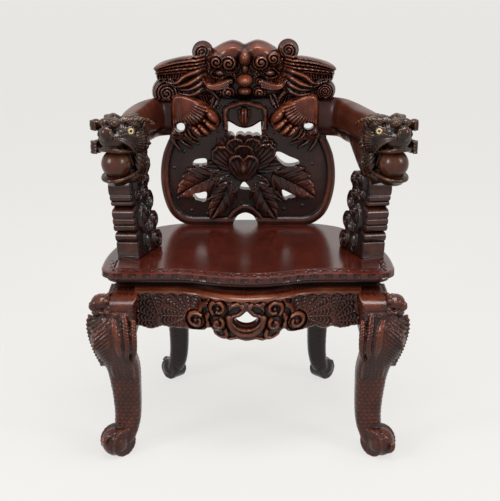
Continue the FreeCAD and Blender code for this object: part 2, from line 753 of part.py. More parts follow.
def rounded_square(centre, half, level):
    """A square wire with rounded corners, for a leg's section."""
    r = half * LEG_ROUND_SHARE
    x, y = centre
    lean = r * (1 - math.sqrt(HALF))
    edges = []
    for sx, sy, flip in ((1, 1, 0), (-1, 1, 1), (-1, -1, 0), (1, -1, 1)):
        along_x = Vector(x + sx * (half - r), y + sy * half, level)
        along_y = Vector(x + sx * half, y + sy * (half - r), level)
        middle = Vector(x + sx * (half - lean), y + sy * (half - lean), level)
        start, end = (along_x, along_y) if flip else (along_y, along_x)
        edges.append(Part.Arc(start, middle, end).toShape())
        edges.append(end)
    wires = []
    for number in range(0, len(edges), 2):
        wires.append(edges[number])
        end = edges[number + 1]
        following = edges[(number + 2) % len(edges)].Vertexes[0].Point
        wires.append(Part.LineSegment(end, following).toShape())
    return Part.Wire(wires)


LEG_ROUND_SHARE = 0.5
# A leg from its stump down: level as a share of the stump's top, kick as a share of the knee's,
# and half width between the ankle's (0) and the knee's (1).
LEG_SHARES = (
    (1.0, 0.3, 0.4), (0.88, 0.65, 0.7), (0.78, 1.0, 1.0), (0.68, 0.86, 0.82),
    (0.555, 0.29, 0.42), (0.43, 0.0, 0.18), (0.28, -0.07, 0.0), (0.15, 0.15, 0.05),
    (0.06, 0.5, 0.05), (-0.03, 0.8, -0.3),
)
# A front knee's carving: the lion's head in shares of lion_size, its wing of wing_length.
LION_SHARES = (
    (0, 0.15, 0.0, 0.95), (0.35, -0.45, 0.3, 0.45), (-0.2, -0.7, -0.1, 0.5),
    (0.6, -0.5, -0.35, 0.4), (-0.75, -0.35, 0.05, 0.55), (0, -0.5, 0.55, 0.38),
)
WING_SHARES = (
    (0.27, 0, 0.5, 0.24, 0.14, 0.06, -0.9, 0.09), (-0.42, -0.22, 0.5, 0.2, -0.35, -0.1, -0.75, 0.07),
)


def leg(label, side, front):
    """A cabriole leg with a square stump, mortises and a scrolled foot."""
    prefix = "front_" if front else "rear_"
    forward = -1 if front else 1
    x, y = side * mm(prefix + "leg_x"), forward * mm(prefix + "leg_y")
    knee, ankle = (mm("knee_size"), mm("ankle_size")) if front else (
        mm("rear_knee_size"), mm("rear_ankle_size"))
    kick, foot_kick = (mm("knee_kick"), mm("foot_kick")) if front else (
        mm("rear_knee_kick"), mm("rear_foot_kick"))
    foot_radius, foot_width = (mm("foot_radius"), mm("foot_width")) if front else (
        mm("rear_foot_radius"), mm("rear_foot_width"))
    sections = []
    for level, out, size in LEG_SHARES:
        reach = out * (foot_kick if level < LEG_SHARES[6][0] else kick)
        centre = (x + side * reach, y + forward * reach)
        half = ankle + size * (knee - ankle)
        sections.append(rounded_square(centre, half, level * BASE_TOP))
    shaft = doc.addObject("Part::Feature", label + "_shaft")
    shaft.Shape = Part.makeLoft(sections, True, False)
    if front:
        inner = mm("block_inner_x")
        low = (min(side * inner, side * (inner + mm("block_width"))), -mm("block_front_y"),
               BASE_TOP - mm("block_drop"))
        high = (max(side * inner, side * (inner + mm("block_width"))), -mm("block_back_y"), BASE_TOP)
    else:
        inner, size = mm("rear_block_x"), mm("rear_block")
        low = (min(side * inner, side * (inner + size)), mm("rear_block_y"),
               BASE_TOP - mm("side_apron_height"))
        high = (max(side * inner, side * (inner + size)), mm("rear_block_y") + size, BASE_TOP)
    stump = brick(label + "_stump", low, high)
    doc.recompute()
    uprights = [
        n for n, e in enumerate(stump.Shape.Edges, start=1) if e.BoundBox.ZLength > mm("rear_block")
    ]
    stump_round = doc.addObject("Part::Fillet", label + "_stump_round")
    stump_round.Base = stump
    outer = [
        n for n in uprights
        if abs(stump.Shape.Edges[n - 1].CenterOfMass.x) > abs(inner) + mm("joint_gap")
        and (stump.Shape.Edges[n - 1].CenterOfMass.y * forward > (low[1] + high[1]) / 2 * forward)
    ]
    stump_round.Edges = [(n, mm("block_round"), mm("block_round")) for n in outer]
    diagonal = Vector(-side * forward, 1, 0)
    centre = Vector(x + side * foot_kick, y + forward * foot_kick, mm("foot_level"))
    foot = peg(label + "_scroll", centre, diagonal, foot_radius, foot_width / 2)
    parts = [shaft, stump_round, foot]
    if front:
        lion = Vector(side * (mm("block_inner_x") + mm("block_width")), -mm("block_front_y"),
                      BASE_TOP - mm("lion_size") * LION_DROP_SHARE)
        parts += masses(label + "_lion", "lion_size", LION_SHARES, lion, sides=(side,))
        wing = Vector(side * (abs(x) + mm("knee_size") + kick * WING_OUT_SHARE),
                      y - kick, BASE_TOP - mm("wing_length") * WING_DROP_SHARE)
        parts += masses(label + "_wing", "wing_length", WING_SHARES, wing, sides=(side,))
    solid = fused(label + "_solid", parts)
    gap = mm("joint_gap")
    tools = [
        apron_tenon(f"{label}_mortise{n}", end, along, gap)
        for n, (end, along) in enumerate(all_apron_ends())
        if (end[0] * side > 0) and (end[1] * forward > 0)
    ]
    tools.append(half_space(label + "_floor", Vector(0, 0, 0), Vector(0, 0, -1)))
    inner_cut = brick(
        label + "_inner",
        (min(0, side * inner), min(0, forward * FAR), BASE_TOP - mm("block_drop")),
        (max(0, side * inner), max(0, forward * FAR), BASE_TOP + mm("cut_over")),
    )
    back_line = mm("block_back_y") if front else mm("rear_block_y")
    back_cut = brick(
        label + "_back",
        (min(0, side * FAR), min(0, forward * back_line), BASE_TOP - mm("block_drop")),
        (max(0, side * FAR), max(0, forward * back_line), BASE_TOP + mm("cut_over")),
    )
    keep(cut(label + "_finished", solid, tools + [inner_cut, back_cut]), label)


LION_DROP_SHARE = 0.55
WING_OUT_SHARE = 0.15
WING_DROP_SHARE = 1.35


def corner_blocks():
    """Glue blocks in the four inner corners of the base, each with two screws."""
    size, height = mm("corner_block_size"), mm("corner_block_height")
    top = BASE_TOP - mm("shoulder_height")
    front_y = -(mm("apron_front") - mm("apron_bulge")) + mm("apron_thickness")
    rear_y = mm("rear_block_y") + (mm("rear_block") - mm("apron_thickness")) / 2
    made, heads_front, heads_rear = [], [], []
    for side in (LEFT, RIGHT):
        for tag, x, y, way in (
            ("front", side * mm("block_inner_x"), front_y, 1),
            ("rear", side * mm("rear_block_x"), rear_y, -1),
        ):
            points = [(x, y), (x - side * size, y), (x, y + way * size)]
            made.append(
                padded(f"corner_block_{tag}{side + 1}", ring_of(points), 0,
                       Placement(Vector(0, 0, top - height), Rotation()), "corner_block_height")
            )
            head = Vector(x - side * size * CORNER_SCREW_SHARE,
                          y + way * size * CORNER_SCREW_SHARE, top - height / 2)
            (heads_front if tag == "front" else heads_rear).append(head)
    front_made, front_holes = screws("front_corner_screw", heads_front, Vector(0, -1, 0))
    rear_made, rear_holes = screws("rear_corner_screw", heads_rear, Vector(0, 1, 0))
    keep(compound("corner_screw_set", front_made + rear_made), "corner_block_screws")
    holes = front_holes + rear_holes
    keep(cut("corner_blocks_bored", compound("corner_block_set", made), holes), "corner_blocks")
    return front_holes, rear_holes


CORNER_SCREW_SHARE = 0.42


# The back panel, in shares of splat_half_width across and splat_height up from the seat.
SPLAT_FOOT_SHARE = 0.66
SPLAT_BELLY_SHARES = ((0.925, 0.285), (1.0, 0.61), (0.978, 0.83))
SPLAT_ARCH_SHARES = (0.147, 0.138)
SPLAT_HOLE_SHARES = (
    ((-0.62, 0.71), (-0.62, 0.76), (-0.54, 0.78), (-0.48, 0.77), (-0.49, 0.705)),
    ((0.31, 0.825), (0.355, 0.855), (0.58, 0.76), (0.58, 0.72), (0.425, 0.71)),
    ((-0.63, 0.37), (-0.487, 0.4), (-0.495, 0.29), (-0.59, 0.29)),
    ((0.4, 0.42), (0.55, 0.355), (0.43, 0.315)),
    ((-0.04, 0.505), (-0.092, 0.43), (0.026, 0.42)),
)
# The peony's petals and its leaves, in shares of flower_size from the flower's middle.
PETAL_SHARES = (
    (0, -0.25, 0.27, 0.2, 0, 0.3), (-0.36, 0.2, 0.36, 0.24, 150, 0.12),
    (0, 0.4, 0.3, 0.22, 90, 0.09), (0.36, 0.2, 0.36, 0.24, 30, 0.11),
    (-0.44, -0.08, 0.3, 0.19, 176, 0.15), (0.46, -0.12, 0.3, 0.19, 4, 0.16),
    (-0.3, -0.34, 0.22, 0.14, 40, 0.1), (0.3, -0.33, 0.22, 0.14, 138, 0.1),
    (0.02, 0.08, 0.36, 0.21, 3, 0.21),
)
LEAF_SHARES = (
    (1.3, -0.6, 0.42, 0.2, 62, 0.06), (0.62, -1.06, 0.44, 0.2, 124, 0.06),
    (1.02, -0.98, 0.36, 0.13, 48, 0.05), (1.02, -0.14, 0.34, 0.12, 8, 0.05),
    (1.62, -0.14, 0.3, 0.1, 84, 0.04),
)


def splat_outline(inset):
    """The back panel's outline, drawn in by an inset. Local X across, Y up from the seat."""
    half, height = mm("splat_half_width") - inset, mm("splat_height")
    foot = (mm("splat_half_width") * SPLAT_FOOT_SHARE, 0)
    low, widest, upper = ((half * x, height * y) for x, y in SPLAT_BELLY_SHARES)
    top = (mm("shoulder_half") - inset, height)
    edges = [arc(foot, low, widest), arc(widest, upper, top)]
    edges += [arc(*(mirrored(p) for p in (foot, low, widest)))]
    edges += [arc(*(mirrored(p) for p in (widest, upper, top)))]
    edges += [line(top, mirrored(top)), line(foot, mirrored(foot))]
    return edges


def back_splat():
    """Pierced back panel: ground, raised rim, peony and leaves, tenoned into the seat."""
    place = Placement(Vector(0, SPLAT_REAR, mm("seat_height")), UPRIGHT)
    ground = padded("splat_ground", splat_outline(0), 0, place, "splat_thickness")
    depth = mm("splat_thickness") + mm("rim_relief")
    rim_outer = padded("splat_rim_outer", splat_outline(0), depth, place)
    rim_inner = padded("splat_rim_inner", splat_outline(mm("rim_width")), depth, place)
    rim = cut("splat_rim", rim_outer, rim_inner)
    half, height = mm("splat_half_width"), mm("splat_height")
    through = mm("splat_thickness") + 2 * mm("cut_over")
    hole_place = Placement(Vector(0, SPLAT_REAR + mm("cut_over"), mm("seat_height")), UPRIGHT)
    holes = []
    for number, shares in enumerate(SPLAT_HOLE_SHARES):
        points = [(half * x, height * y) for x, y in shares]
        holes.append(padded(f"splat_hole{number}", ring_of(points), through, hole_place))
    wide, rise = half * SPLAT_ARCH_SHARES[0], height * SPLAT_ARCH_SHARES[1]
    arch_edges = [
        arc((MASK_X - wide, 0), (MASK_X, rise), (MASK_X + wide, 0)),
        line((MASK_X - wide, 0), (MASK_X + wide, 0)),
    ]
    holes.append(padded("splat_arch", arch_edges, through, hole_place))
    pierced = cut("splat_pierced", fused("splat_blank", [ground, rim]), holes)
    centre = Vector(MASK_X, SPLAT_FRONT, mm("seat_height") + mm("flower_level"))
    seat = SPLAT_FRONT + mm("rim_relief")
    petals = relief("petal", "flower_size", PETAL_SHARES, centre, seat)
    leaves = relief("leaf", "flower_size", LEAF_SHARES, centre, seat, (LEFT, RIGHT), True)
    whole = fused("splat_whole", [pierced] + petals + leaves + splat_tenons("splat_tenon", 0))
    keep(cut("splat_finished", whole, splat_dowels("splat_dowel_hole", mm("joint_gap"))), "back_splat")


SPLAT_DOWEL_SHARES = (-0.8, -0.42, 0.42, 0.8)


def splat_dowels(name, gap):
    """Pegs between the back panel and the crest, or their holes if gap is not zero."""
    y = SPLAT_FRONT + mm("splat_thickness") / 2
    return [
        peg(f"{name}{n}", Vector(mm("shoulder_half") * share, y, CREST_JOINT), Vector(0, 0, 1),
            mm("dowel_radius") + gap, mm("dowel_half") + gap)
        for n, share in enumerate(SPLAT_DOWEL_SHARES)
    ]


def arm_dowels(name, gap, side):
    """Pegs between the crest and an arm, or their holes if gap is not zero."""
    y = SPLAT_FRONT + mm("splat_thickness") / 2
    span = SHOULDER_TOP - CREST_JOINT
    return [
        peg(f"{name}{n}", Vector(side * mm("shoulder_half"), y, CREST_JOINT + span * share),
            Vector(1, 0, 0), mm("dowel_radius") + gap, mm("dowel_half") + gap)
        for n, share in enumerate(ARM_DOWEL_SHARES)
    ]


ARM_DOWEL_SHARES = (0.36, 0.72)
# The lion mask, in shares of mask_width from its middle: raised work, curls, then balls.
MASK_SHARES = (
    (0, 0.02, 0.44, 0.26, 0, 0.05), (0.2, 0.3, 0.21, 0.13, -16, 0.1),
    (0, 0.27, 0.13, 0.1, 90, 0.18), (0.35, -0.11, 0.13, 0.06, 24, 0.13),
    (0, -0.19, 0.14, 0.05, 0, 0.16), (0.31, 0.05, 0.1, 0.07, 0, 0.09),
)
MASK_CURL_SHARES = ((0.2, 0.205, 0.11, 0.15), (0.38, 0.23, 0.105, 0.12), (0.22, -0.175, 0.11, 0.19))
MASK_BALL_SHARES = (
    (0, -0.15, -0.035, 0.12), (0.17, -0.17, -0.075, 0.065), (0.31, -0.09, 0.05, 0.055),
)
CREST_TOP_SHARES = ((0.5, 0.3), (0.2, 0.4))
GATE_MOUTH_SHARES = ((-1, 0.42), (0, 0.28), (1, 0.42))


def crest_rail():
    """Crest board with the lion mask, the arched mouth and the joints to panel and arms."""
    half, rise = mm("shoulder_half"), SHOULDER_TOP - CREST_JOINT
    mask = mm("mask_width")
    mask_z = MASK_Z - CREST_JOINT
    side_x = mask * CREST_TOP_SHARES[0][0]
    temple = mask_z + mask * CREST_TOP_SHARES[0][1]
    brow_x, brow = mask * CREST_TOP_SHARES[1][0], mask_z + mask * CREST_TOP_SHARES[1][1]
    points = [
        (-half, 0), (half, 0), (half, rise), (side_x + MASK_X, rise), (side_x + MASK_X, temple),
        (brow_x + MASK_X, brow), (-brow_x + MASK_X, brow), (-side_x + MASK_X, temple),
        (-side_x + MASK_X, rise), (-half, rise),
    ]
    place = Placement(Vector(0, SPLAT_REAR, CREST_JOINT), UPRIGHT)
    board = padded("crest_board", ring_of(points), 0, place, "splat_thickness")
    centre, both = Vector(MASK_X, SPLAT_FRONT, MASK_Z), (LEFT, RIGHT)
    back = SPLAT_REAR - mm("rim_relief")
    face = relief("mask", "mask_width", MASK_SHARES, centre, back, both)
    face += curls("mask_curl", "mask_width", MASK_CURL_SHARES, centre, back, both)
    face += masses("mask_ball", "mask_width", MASK_BALL_SHARES, centre, sides=both)
    inside, band = mm("gate_half"), mm("gate_band")
    level, arch = mm("gate_level"), mm("gate_rise")

    def gate(name, grow, low, depth, back):
        """A round-headed opening in the crest, grown by a margin."""
        wide = inside + grow
        edges = [
            line((MASK_X - wide, low), (MASK_X + wide, low)),
            line((MASK_X + wide, low), (MASK_X + wide, level)),
            arc((MASK_X + wide, level), (MASK_X, level + arch + grow), (MASK_X - wide, level)),
            line((MASK_X - wide, level), (MASK_X - wide, low)),
        ]
        return padded(name, edges, depth, Placement(Vector(0, back, CREST_JOINT), UPRIGHT))

    thick, proud = mm("splat_thickness"), mm("gate_relief")
    frame = gate("gate_frame", band, 0, thick + proud, SPLAT_REAR)
    recess = gate("gate_recess", 0, -mm("cut_over"), mm("gate_recess") + proud + mm("cut_over"),
                  SPLAT_FRONT + mm("gate_recess"))
    mouth_points = [
        (MASK_X + inside, -mm("cut_over")), (MASK_X - inside, -mm("cut_over")),
    ] + [(MASK_X + inside * x, level * z) for x, z in GATE_MOUTH_SHARES]
    mouth = padded(
        "gate_mouth", ring_of(mouth_points), thick + 2 * mm("cut_over"),
        Placement(Vector(0, SPLAT_REAR + mm("cut_over"), CREST_JOINT), UPRIGHT),
    )
    hung = Vector(MASK_X, SPLAT_FRONT + mm("gate_recess"), CREST_JOINT + level)
    tongue = relief("gate_tongue", "gate_half", TONGUE_SHARES, hung,
                    hung.y + mm("rim_relief"))
    below = half_space("crest_below", Vector(0, 0, CREST_JOINT), Vector(0, 0, -1))
    solid = fused("crest_solid", [board, frame] + face)
    hollowed = fused("crest_hollowed", [cut("crest_recessed", solid, [recess, mouth])] + tongue)
    holes = splat_dowels("crest_dowel_hole", mm("joint_gap"))
    for side in (LEFT, RIGHT):
        holes += arm_dowels(f"crest_arm_hole{side + 1}", mm("joint_gap"), side)
    keep(cut("crest_finished", hollowed, holes + [below]), "crest_rail")


TONGUE_SHARES = ((0, -0.48, 0.64, 0.25, 90, 0.3),)
# A mane tuft: open jaws of hair that flare sideways, with round curls above and below.
MANE_SHARES = (
    (0.5, 0.6, 0.53, 0.13, -8, 0.12), (0.45, 0.35, 0.49, 0.12, -3, 0.05),
    (0.24, 0.34, 0.33, 0.27, 90, 0.03), (0.42, 0.11, 0.5, 0.1, 0, 0.08),
)
MANE_CURL_SHARES = ((0.2, 0.8, 0.19, 0.16), (0.93, 0.17, 0.17, 0.12), (0.5, 0.15, 0.12, 0.14))


def mane(side):
    """The flared hair at one side of the mask, glued to the mask's cheek and the shoulder."""
    tag = "left" if side == LEFT else "right"
    cheek = MASK_X + side * mm("mask_width") * CREST_TOP_SHARES[0][0]
    origin, back = Vector(cheek, SPLAT_FRONT, SHOULDER_TOP), SPLAT_REAR - mm("rim_relief")
    hair = relief(f"mane_{tag}", "mane_length", MANE_SHARES, origin, back, (side,))
    hair += curls(f"mane_curl_{tag}", "mane_length", MANE_CURL_SHARES, origin, back, (side,))
    tuft = fused(f"mane_tuft_{tag}", hair)
    under = half_space(f"mane_under_{tag}", Vector(0, 0, SHOULDER_TOP), Vector(0, 0, -1))
    inner = half_space(f"mane_inner_{tag}", Vector(cheek, 0, 0), Vector(-side, 0, 0))
    keep(cut(f"mane_cut_{tag}", tuft, [under, inner]), f"mane_{tag}")


# A paw, in shares of paw_length from the middle of its back: raised work, then its knuckles.
PAW_SHARES = (
    (0.04, -0.03, 0.45, 0.26, 33, 0.24), (0.3, -0.42, 0.2, 0.09, 84, 0.22),
    (0.08, -0.45, 0.2, 0.09, 90, 0.26), (-0.14, -0.45, 0.2, 0.09, 94, 0.28),
    (-0.32, -0.42, 0.2, 0.09, 100, 0.26), (0.12, -0.24, 0.3, 0.12, 6, 0.2),
)
KNUCKLE_SHARES = (
    (0.28, -0.16, -0.3, 0.11), (0.08, -0.2, -0.3, 0.11), (-0.14, -0.22, -0.3, 0.11),
    (-0.34, -0.2, -0.28, 0.1),
)


def paw(side):
    """A clawed hand that grips the crest board, glued to its face."""
    tag = "left" if side == LEFT else "right"
    origin = Vector(MASK_X + side * mm("paw_length"), SPLAT_FRONT,
                    CREST_JOINT + mm("paw_length") * PAW_LIFT_SHARE)
    hand = relief(f"paw_{tag}", "paw_length", PAW_SHARES, origin, SPLAT_FRONT, (side,))
    hand += masses(f"knuckle_{tag}", "paw_length", KNUCKLE_SHARES, origin, sides=(side,))
    keep(fused(f"paw_hand_{tag}", hand), f"paw_{tag}")


PAW_LIFT_SHARE = 0.68


def head_frame(side):
    """Where a dragon head sits: its centre, and local -Y as the way its snout points."""
    tag = "left" if side == LEFT else "right"
    across = mm("seat_half_width") - mm(tag + "_head_inset")
    centre = Vector(side * across, -mm(tag + "_head_y"), mm("seat_height") + mm("head_level"))
    return Placement(centre, Rotation(Z_AXIS, side * mm(tag + "_head_turn")))


# An arm from the crest to the neck. Place: across as a share of seat_half_width, along Y as a
# share of seat_rear, height as a share of arm_level; then heading in degrees from outward to
# forward, and half width and half height as shares of arm_size.
ARM_SHARES = {
    LEFT: (
        (0.69, 0.78, 0.975, 36, 0.56, 0.92), (0.757, 0.6, 1.0, 68, 0.6, 1.0),
        (0.8, 0.36, 1.01, 82, 0.63, 1.0), (0.82, 0.1, 0.99, 86, 0.66, 0.97),
    ),
    RIGHT: (
        (0.69, 0.78, 0.975, 36, 0.56, 0.92), (0.757, 0.6, 1.0, 66, 0.6, 1.0),
        (0.81, 0.36, 1.01, 78, 0.63, 1.0), (0.855, 0.1, 0.99, 76, 0.66, 0.96),
    ),
}
ARM_ROOT_SHARES = (0.52, 0.9)
ARM_NECK_SHARES = (0.68, 0.88)
ARM_END_SHARE = 0.4
# The dragon's chest over its support, in shares of arm_size from the support's top.
CHEST_SHARES = (
    (0, 0.6, -0.2, 0.46, 0, 0.7, 1.1, 0.78), (0, 1.25, -0.2, 0.4, 0, 1.2, 1.1, 0.72),
)


def oval(place, half_wide, half_high):
    """An upright elliptical section; the placement's local -Y is the way ahead."""
    wide, high = max(half_wide, half_high), min(half_wide, half_high)
    ellipse = Part.Ellipse(Vector(), wide, high)
    wire = Part.Wire(ellipse.toShape())
    stand = Rotation(X_AXIS, 90)
    if half_high > half_wide:
        stand = stand.multiply(Rotation(Z_AXIS, 90))
    wire.Placement = place.multiply(Placement(Vector(), stand))
    return wire


def arm(side):
    """The dragon's neck and shoulder, from the crest round to the head."""
    tag = "left" if side == LEFT else "right"
    size = mm("arm_size")
    root_x = mm("shoulder_half") - size * ARM_END_SHARE
    root_y = SPLAT_REAR - size * ARM_ROOT_SHARES[0]
    root_z = (CREST_JOINT + SHOULDER_TOP) / 2
    root = Placement(Vector(side * root_x, root_y, root_z), Rotation(Z_AXIS, side * 90))
    sections = [oval(root, size * ARM_ROOT_SHARES[0], size * ARM_ROOT_SHARES[1])]
    for x, y, z, heading, wide, high in ARM_SHARES[side]:
        centre = Vector(side * x * mm("seat_half_width"), y * mm("seat_rear"),
                        mm("seat_height") + z * mm("arm_level"))
        turn = Rotation(Z_AXIS, side * (90 - heading))
        sections.append(oval(Placement(centre, turn), size * wide, size * high))
    head = head_frame(side)
    neck_point = head.multVec(Vector(0, mm("neck_setback"), 0))
    ahead = head.Rotation.multVec(Vector(0, -1, 0))
    neck = Placement(neck_point + ahead * (size * ARM_END_SHARE), head.Rotation)
    sections.append(oval(neck, size * ARM_NECK_SHARES[0], size * ARM_NECK_SHARES[1]))
    tube = doc.addObject("Part::Feature", f"arm_tube_{tag}")
    tube.Shape = Part.makeLoft(sections, True, False)
    frame = post_frame(side)
    lean = side * math.tan(math.radians(mm("post_lean"))) * mm("post_height")
    top = frame.multVec(Vector(lean, 0, mm("post_height")))
    chest = masses(f"chest_{tag}", "arm_size", CHEST_SHARES, top, frame.Rotation)
    solid = fused(f"arm_solid_{tag}", [tube] + chest)
    tools = [
        half_space(f"arm_ahead_{tag}", neck_point, ahead),
        half_space(f"arm_under_{tag}", Vector(0, 0, POST_TOP), Vector(0, 0, -1)),
        half_space(f"arm_inner_{tag}", Vector(side * mm("shoulder_half"), 0, 0), Vector(-side, 0, 0)),
    ]
    gap = mm("joint_gap")
    tools += arm_dowels(f"arm_hole_{tag}", gap, side)
    tools += neck_dowel(f"arm_neck_hole_{tag}", gap, side)
    tools += post_dowels(f"arm_post_hole_{tag}", gap, side)
    keep(cut(f"arm_cut_{tag}", solid, tools), f"arm_{tag}")


def neck_dowel(name, gap, side):
    """The peg between a neck and a head, or its hole if gap is not zero."""
    head = head_frame(side)
    centre = head.multVec(Vector(0, mm("neck_setback"), 0))
    return [peg(name, centre, head.Rotation.multVec(Y_AXIS), mm("dowel_radius") + gap,
                mm("dowel_half") + gap)]


POST_DOWEL_SHARES = (0.3, 0.55)


def post_dowels(name, gap, side):
    """Pegs between an arm support and an arm, or their holes if gap is not zero."""
    frame = post_frame(side)
    lean = math.tan(math.radians(mm("post_lean"))) * mm("post_height")
    pegs = []
    for number, share in enumerate(POST_DOWEL_SHARES):
        local = Vector(side * lean, mm("post_depth") * share, mm("post_height"))
        pegs.append(peg(f"{name}{number}", frame.multVec(local), Vector(0, 0, 1),
                        mm("dowel_radius") + gap, mm("dowel_half") + gap))
    return pegs


# An arm support in profile: each cloud's front cusp, front swell and next cusp going up, then
# the back going down. Depth as a share of post_depth, height as a share of post_height.
POST_SHARES = (
    ((0.0, 0.0), None), ((0.04, 0.3), (-0.12, 0.16)), ((0.05, 0.6), (-0.13, 0.45)),
    ((0.02, 0.84), (-0.13, 0.72)), ((0.0, 1.06), (-0.08, 0.95)),
    ((0.72, 1.06), None), ((0.66, 0.78), (0.82, 0.92)), ((0.72, 0.5), (0.9, 0.64)),
    ((0.84, 0.24), (1.04, 0.38)), ((0.94, 0.0), (1.12, 0.12)),
)
# Spirals on the sides of a support: depth, height and radius in the same shares.
POST_CURL_SHARES = ((0.3, 0.17, 0.16), (0.72, 0.14, 0.15), (0.36, 0.46, 0.15), (0.66, 0.38, 0.12),
                    (0.34, 0.74, 0.14), (0.6, 0.66, 0.1))


def arm_support(side):
    """Cloud scroll support between the seat and the arm, leaning outward."""
    tag = "left" if side == LEFT else "right"
    depth, height, thick = mm("post_depth"), mm("post_height"), mm("post_thickness")
    points = [((d * depth, h * height), m and (m[0] * depth, m[1] * height)) for d, h, m in
              ((p[0], p[1], q) for p, q in POST_SHARES)]
    edges = []
    for (start, _), (end, middle) in zip(points, points[1:]):
        edges.append(arc(start, middle, end) if middle else line(start, end))
    edges.append(line(points[-1][0], points[0][0]))
    profile = Placement(Vector(-thick / 2, 0, 0), Rotation(Y_AXIS, Z_AXIS, X_AXIS, "XYZ"))
    lean = Placement(Vector(), Rotation(Y_AXIS, side * mm("post_lean")))
    place = post_frame(side).multiply(lean).multiply(profile)
    board = padded(f"post_board_{tag}", edges, 0, place, "post_thickness")
    whirls = []
    for number, (d, h, r) in enumerate(POST_CURL_SHARES):
        centre = place.multVec(Vector(d * depth, h * height, thick / 2))
        across = place.Rotation.multVec(Z_AXIS)
        whirls.append(peg(f"post_curl_{tag}{number}", centre, across, r * depth,
                          thick / 2 + mm("scroll_relief")))
    blank = fused(f"post_blank_{tag}", [board] + whirls)
    floor = half_space(f"post_floor_{tag}", Vector(0, 0, mm("seat_height")), Vector(0, 0, -1))
    roof = half_space(f"post_roof_{tag}", Vector(0, 0, POST_TOP), Z_AXIS)
    trimmed = cut(f"post_trimmed_{tag}", blank, [floor, roof])
    whole = fused(f"post_whole_{tag}", [trimmed, post_tenon(f"post_tenon_{tag}", side, 0)])
    holes = post_dowels(f"post_hole_{tag}", mm("joint_gap"), side)
    keep(cut(f"post_finished_{tag}", whole, holes), f"arm_support_{tag}")


# A dragon head in shares of head_length; negative y is the way the snout points.
HEAD_SHARES = (
    (0, -0.02, 0.1, 0.33), (0, -0.1, 0.06, 0.28, 0, -0.64, 0.02, 0.17), (0, -0.66, 0.06, 0.16),
    (0.12, -0.7, 0.0, 0.09), (0.2, -0.3, 0.24, 0.13), (0.33, -0.12, 0.3, 0.12),
    (0.34, 0.0, 0.14, 0.12), (0.32, -0.2, -0.06, 0.14), (0.31, 0.03, -0.29, 0.16),
    (0, 0.02, -0.42, 0.29),
)
# Curls on the outer side of each head.
OUTER_CURL_SHARES = {
    LEFT: ((0.54, 0.04, 0.2, 0.17), (0.58, 0.06, -0.06, 0.16), (0.48, 0.04, -0.34, 0.17)),
    RIGHT: ((0.47, 0.04, 0.2, 0.17), (0.5, 0.06, -0.06, 0.16), (0.42, 0.04, -0.34, 0.17)),
}
JAW_SHARES = ((0, -0.42, -0.5, 0.305),)
EYE_SHARES = (0.26, -0.34, 0.16)
EYE_WAY_SHARES = (0.78, -0.6, 0.18)


LIP_SHARE = -0.25


def eye_pegs(name, side, radius, length, shift):
    """Two pegs at a dragon's eyes, along the way that the eyes look."""
    head = head_frame(side)
    unit = mm("head_length")
    made = []
    for eye in (LEFT, RIGHT):
        x, y, z = EYE_SHARES
        way = Vector(eye * EYE_WAY_SHARES[0], EYE_WAY_SHARES[1], EYE_WAY_SHARES[2]).normalize()
        local = Vector(eye * x * unit, y * unit, z * unit) + way * shift
        made.append(peg(f"{name}{eye + 1}", head.multVec(local), head.Rotation.multVec(way),
                        radius, length / 2))
    return made


def pearl_centre(side):
    """The middle of the pearl in a dragon's mouth."""
    return head_frame(side).multVec(Vector(0, -mm("pearl_forward"), -mm("pearl_drop")))


def dragon_head(side):
    """Dragon head with a socket for its pearl and sockets for bone eyes."""
    tag = "left" if side == LEFT else "right"
    head = head_frame(side)
    parts = masses(f"head_{tag}", "head_length", HEAD_SHARES, head.Base, head.Rotation,
                   sides=(LEFT, RIGHT))
    parts += masses(f"head_outer_{tag}", "head_length", OUTER_CURL_SHARES[side], head.Base,
                    head.Rotation, sides=(side,))
    gap = mm("joint_gap")
    lip = half_space(f"jaw_lip_{tag}", head.multVec(Vector(0, 0, mm("pearl_radius") * LIP_SHARE
                                                       - mm("pearl_drop"))), Z_AXIS)
    jaw = masses(f"jaw_{tag}", "head_length", JAW_SHARES, head.Base, head.Rotation)
    parts.append(cut(f"jaw_cup_{tag}", jaw[0], lip))
    socket = doc.addObject("Part::Sphere", f"socket_{tag}")
    socket.Radius = mm("pearl_radius") + gap
    socket.Placement = Placement(pearl_centre(side), Rotation())
    neck_point = head.multVec(Vector(0, mm("neck_setback"), 0))
    behind = half_space(f"head_behind_{tag}", neck_point, head.Rotation.multVec(Y_AXIS))
    tools = [socket, behind]
    tools += neck_dowel(f"head_hole_{tag}", gap, side)
    slack = mm("screw_gap")
    tools += eye_pegs(f"eye_socket_{tag}", side, mm("eye_radius") + slack,
                      mm("eye_length") + 2 * slack, 0)
    keep(cut(f"head_cut_{tag}", fused(f"head_solid_{tag}", parts), tools), f"dragon_head_{tag}")
    pearl = doc.addObject("Part::Sphere", f"pearl_ball_{tag}")
    pearl.setExpression("Radius", "sizes.pearl_radius")
    pearl.Placement = Placement(pearl_centre(side), Rotation())
    keep(pearl, f"pearl_{tag}")
    proud = (mm("eye_length") - mm("pupil_length")) / 2
    rings = compound(f"eye_set_{tag}",
                     eye_pegs(f"eye_{tag}", side, mm("eye_radius"), mm("eye_length"), 0))
    pupil_holes = eye_pegs(f"pupil_hole_{tag}", side, mm("pupil_radius") + slack,
                           mm("pupil_length") + 2 * slack, proud)
    keep(cut(f"eyes_cut_{tag}", rings, pupil_holes), f"eyes_{tag}")
    pupils = eye_pegs(f"pupil_{tag}", side, mm("pupil_radius"), mm("pupil_length"), proud)
    keep(compound(f"pupil_set_{tag}", pupils), f"pupils_{tag}")


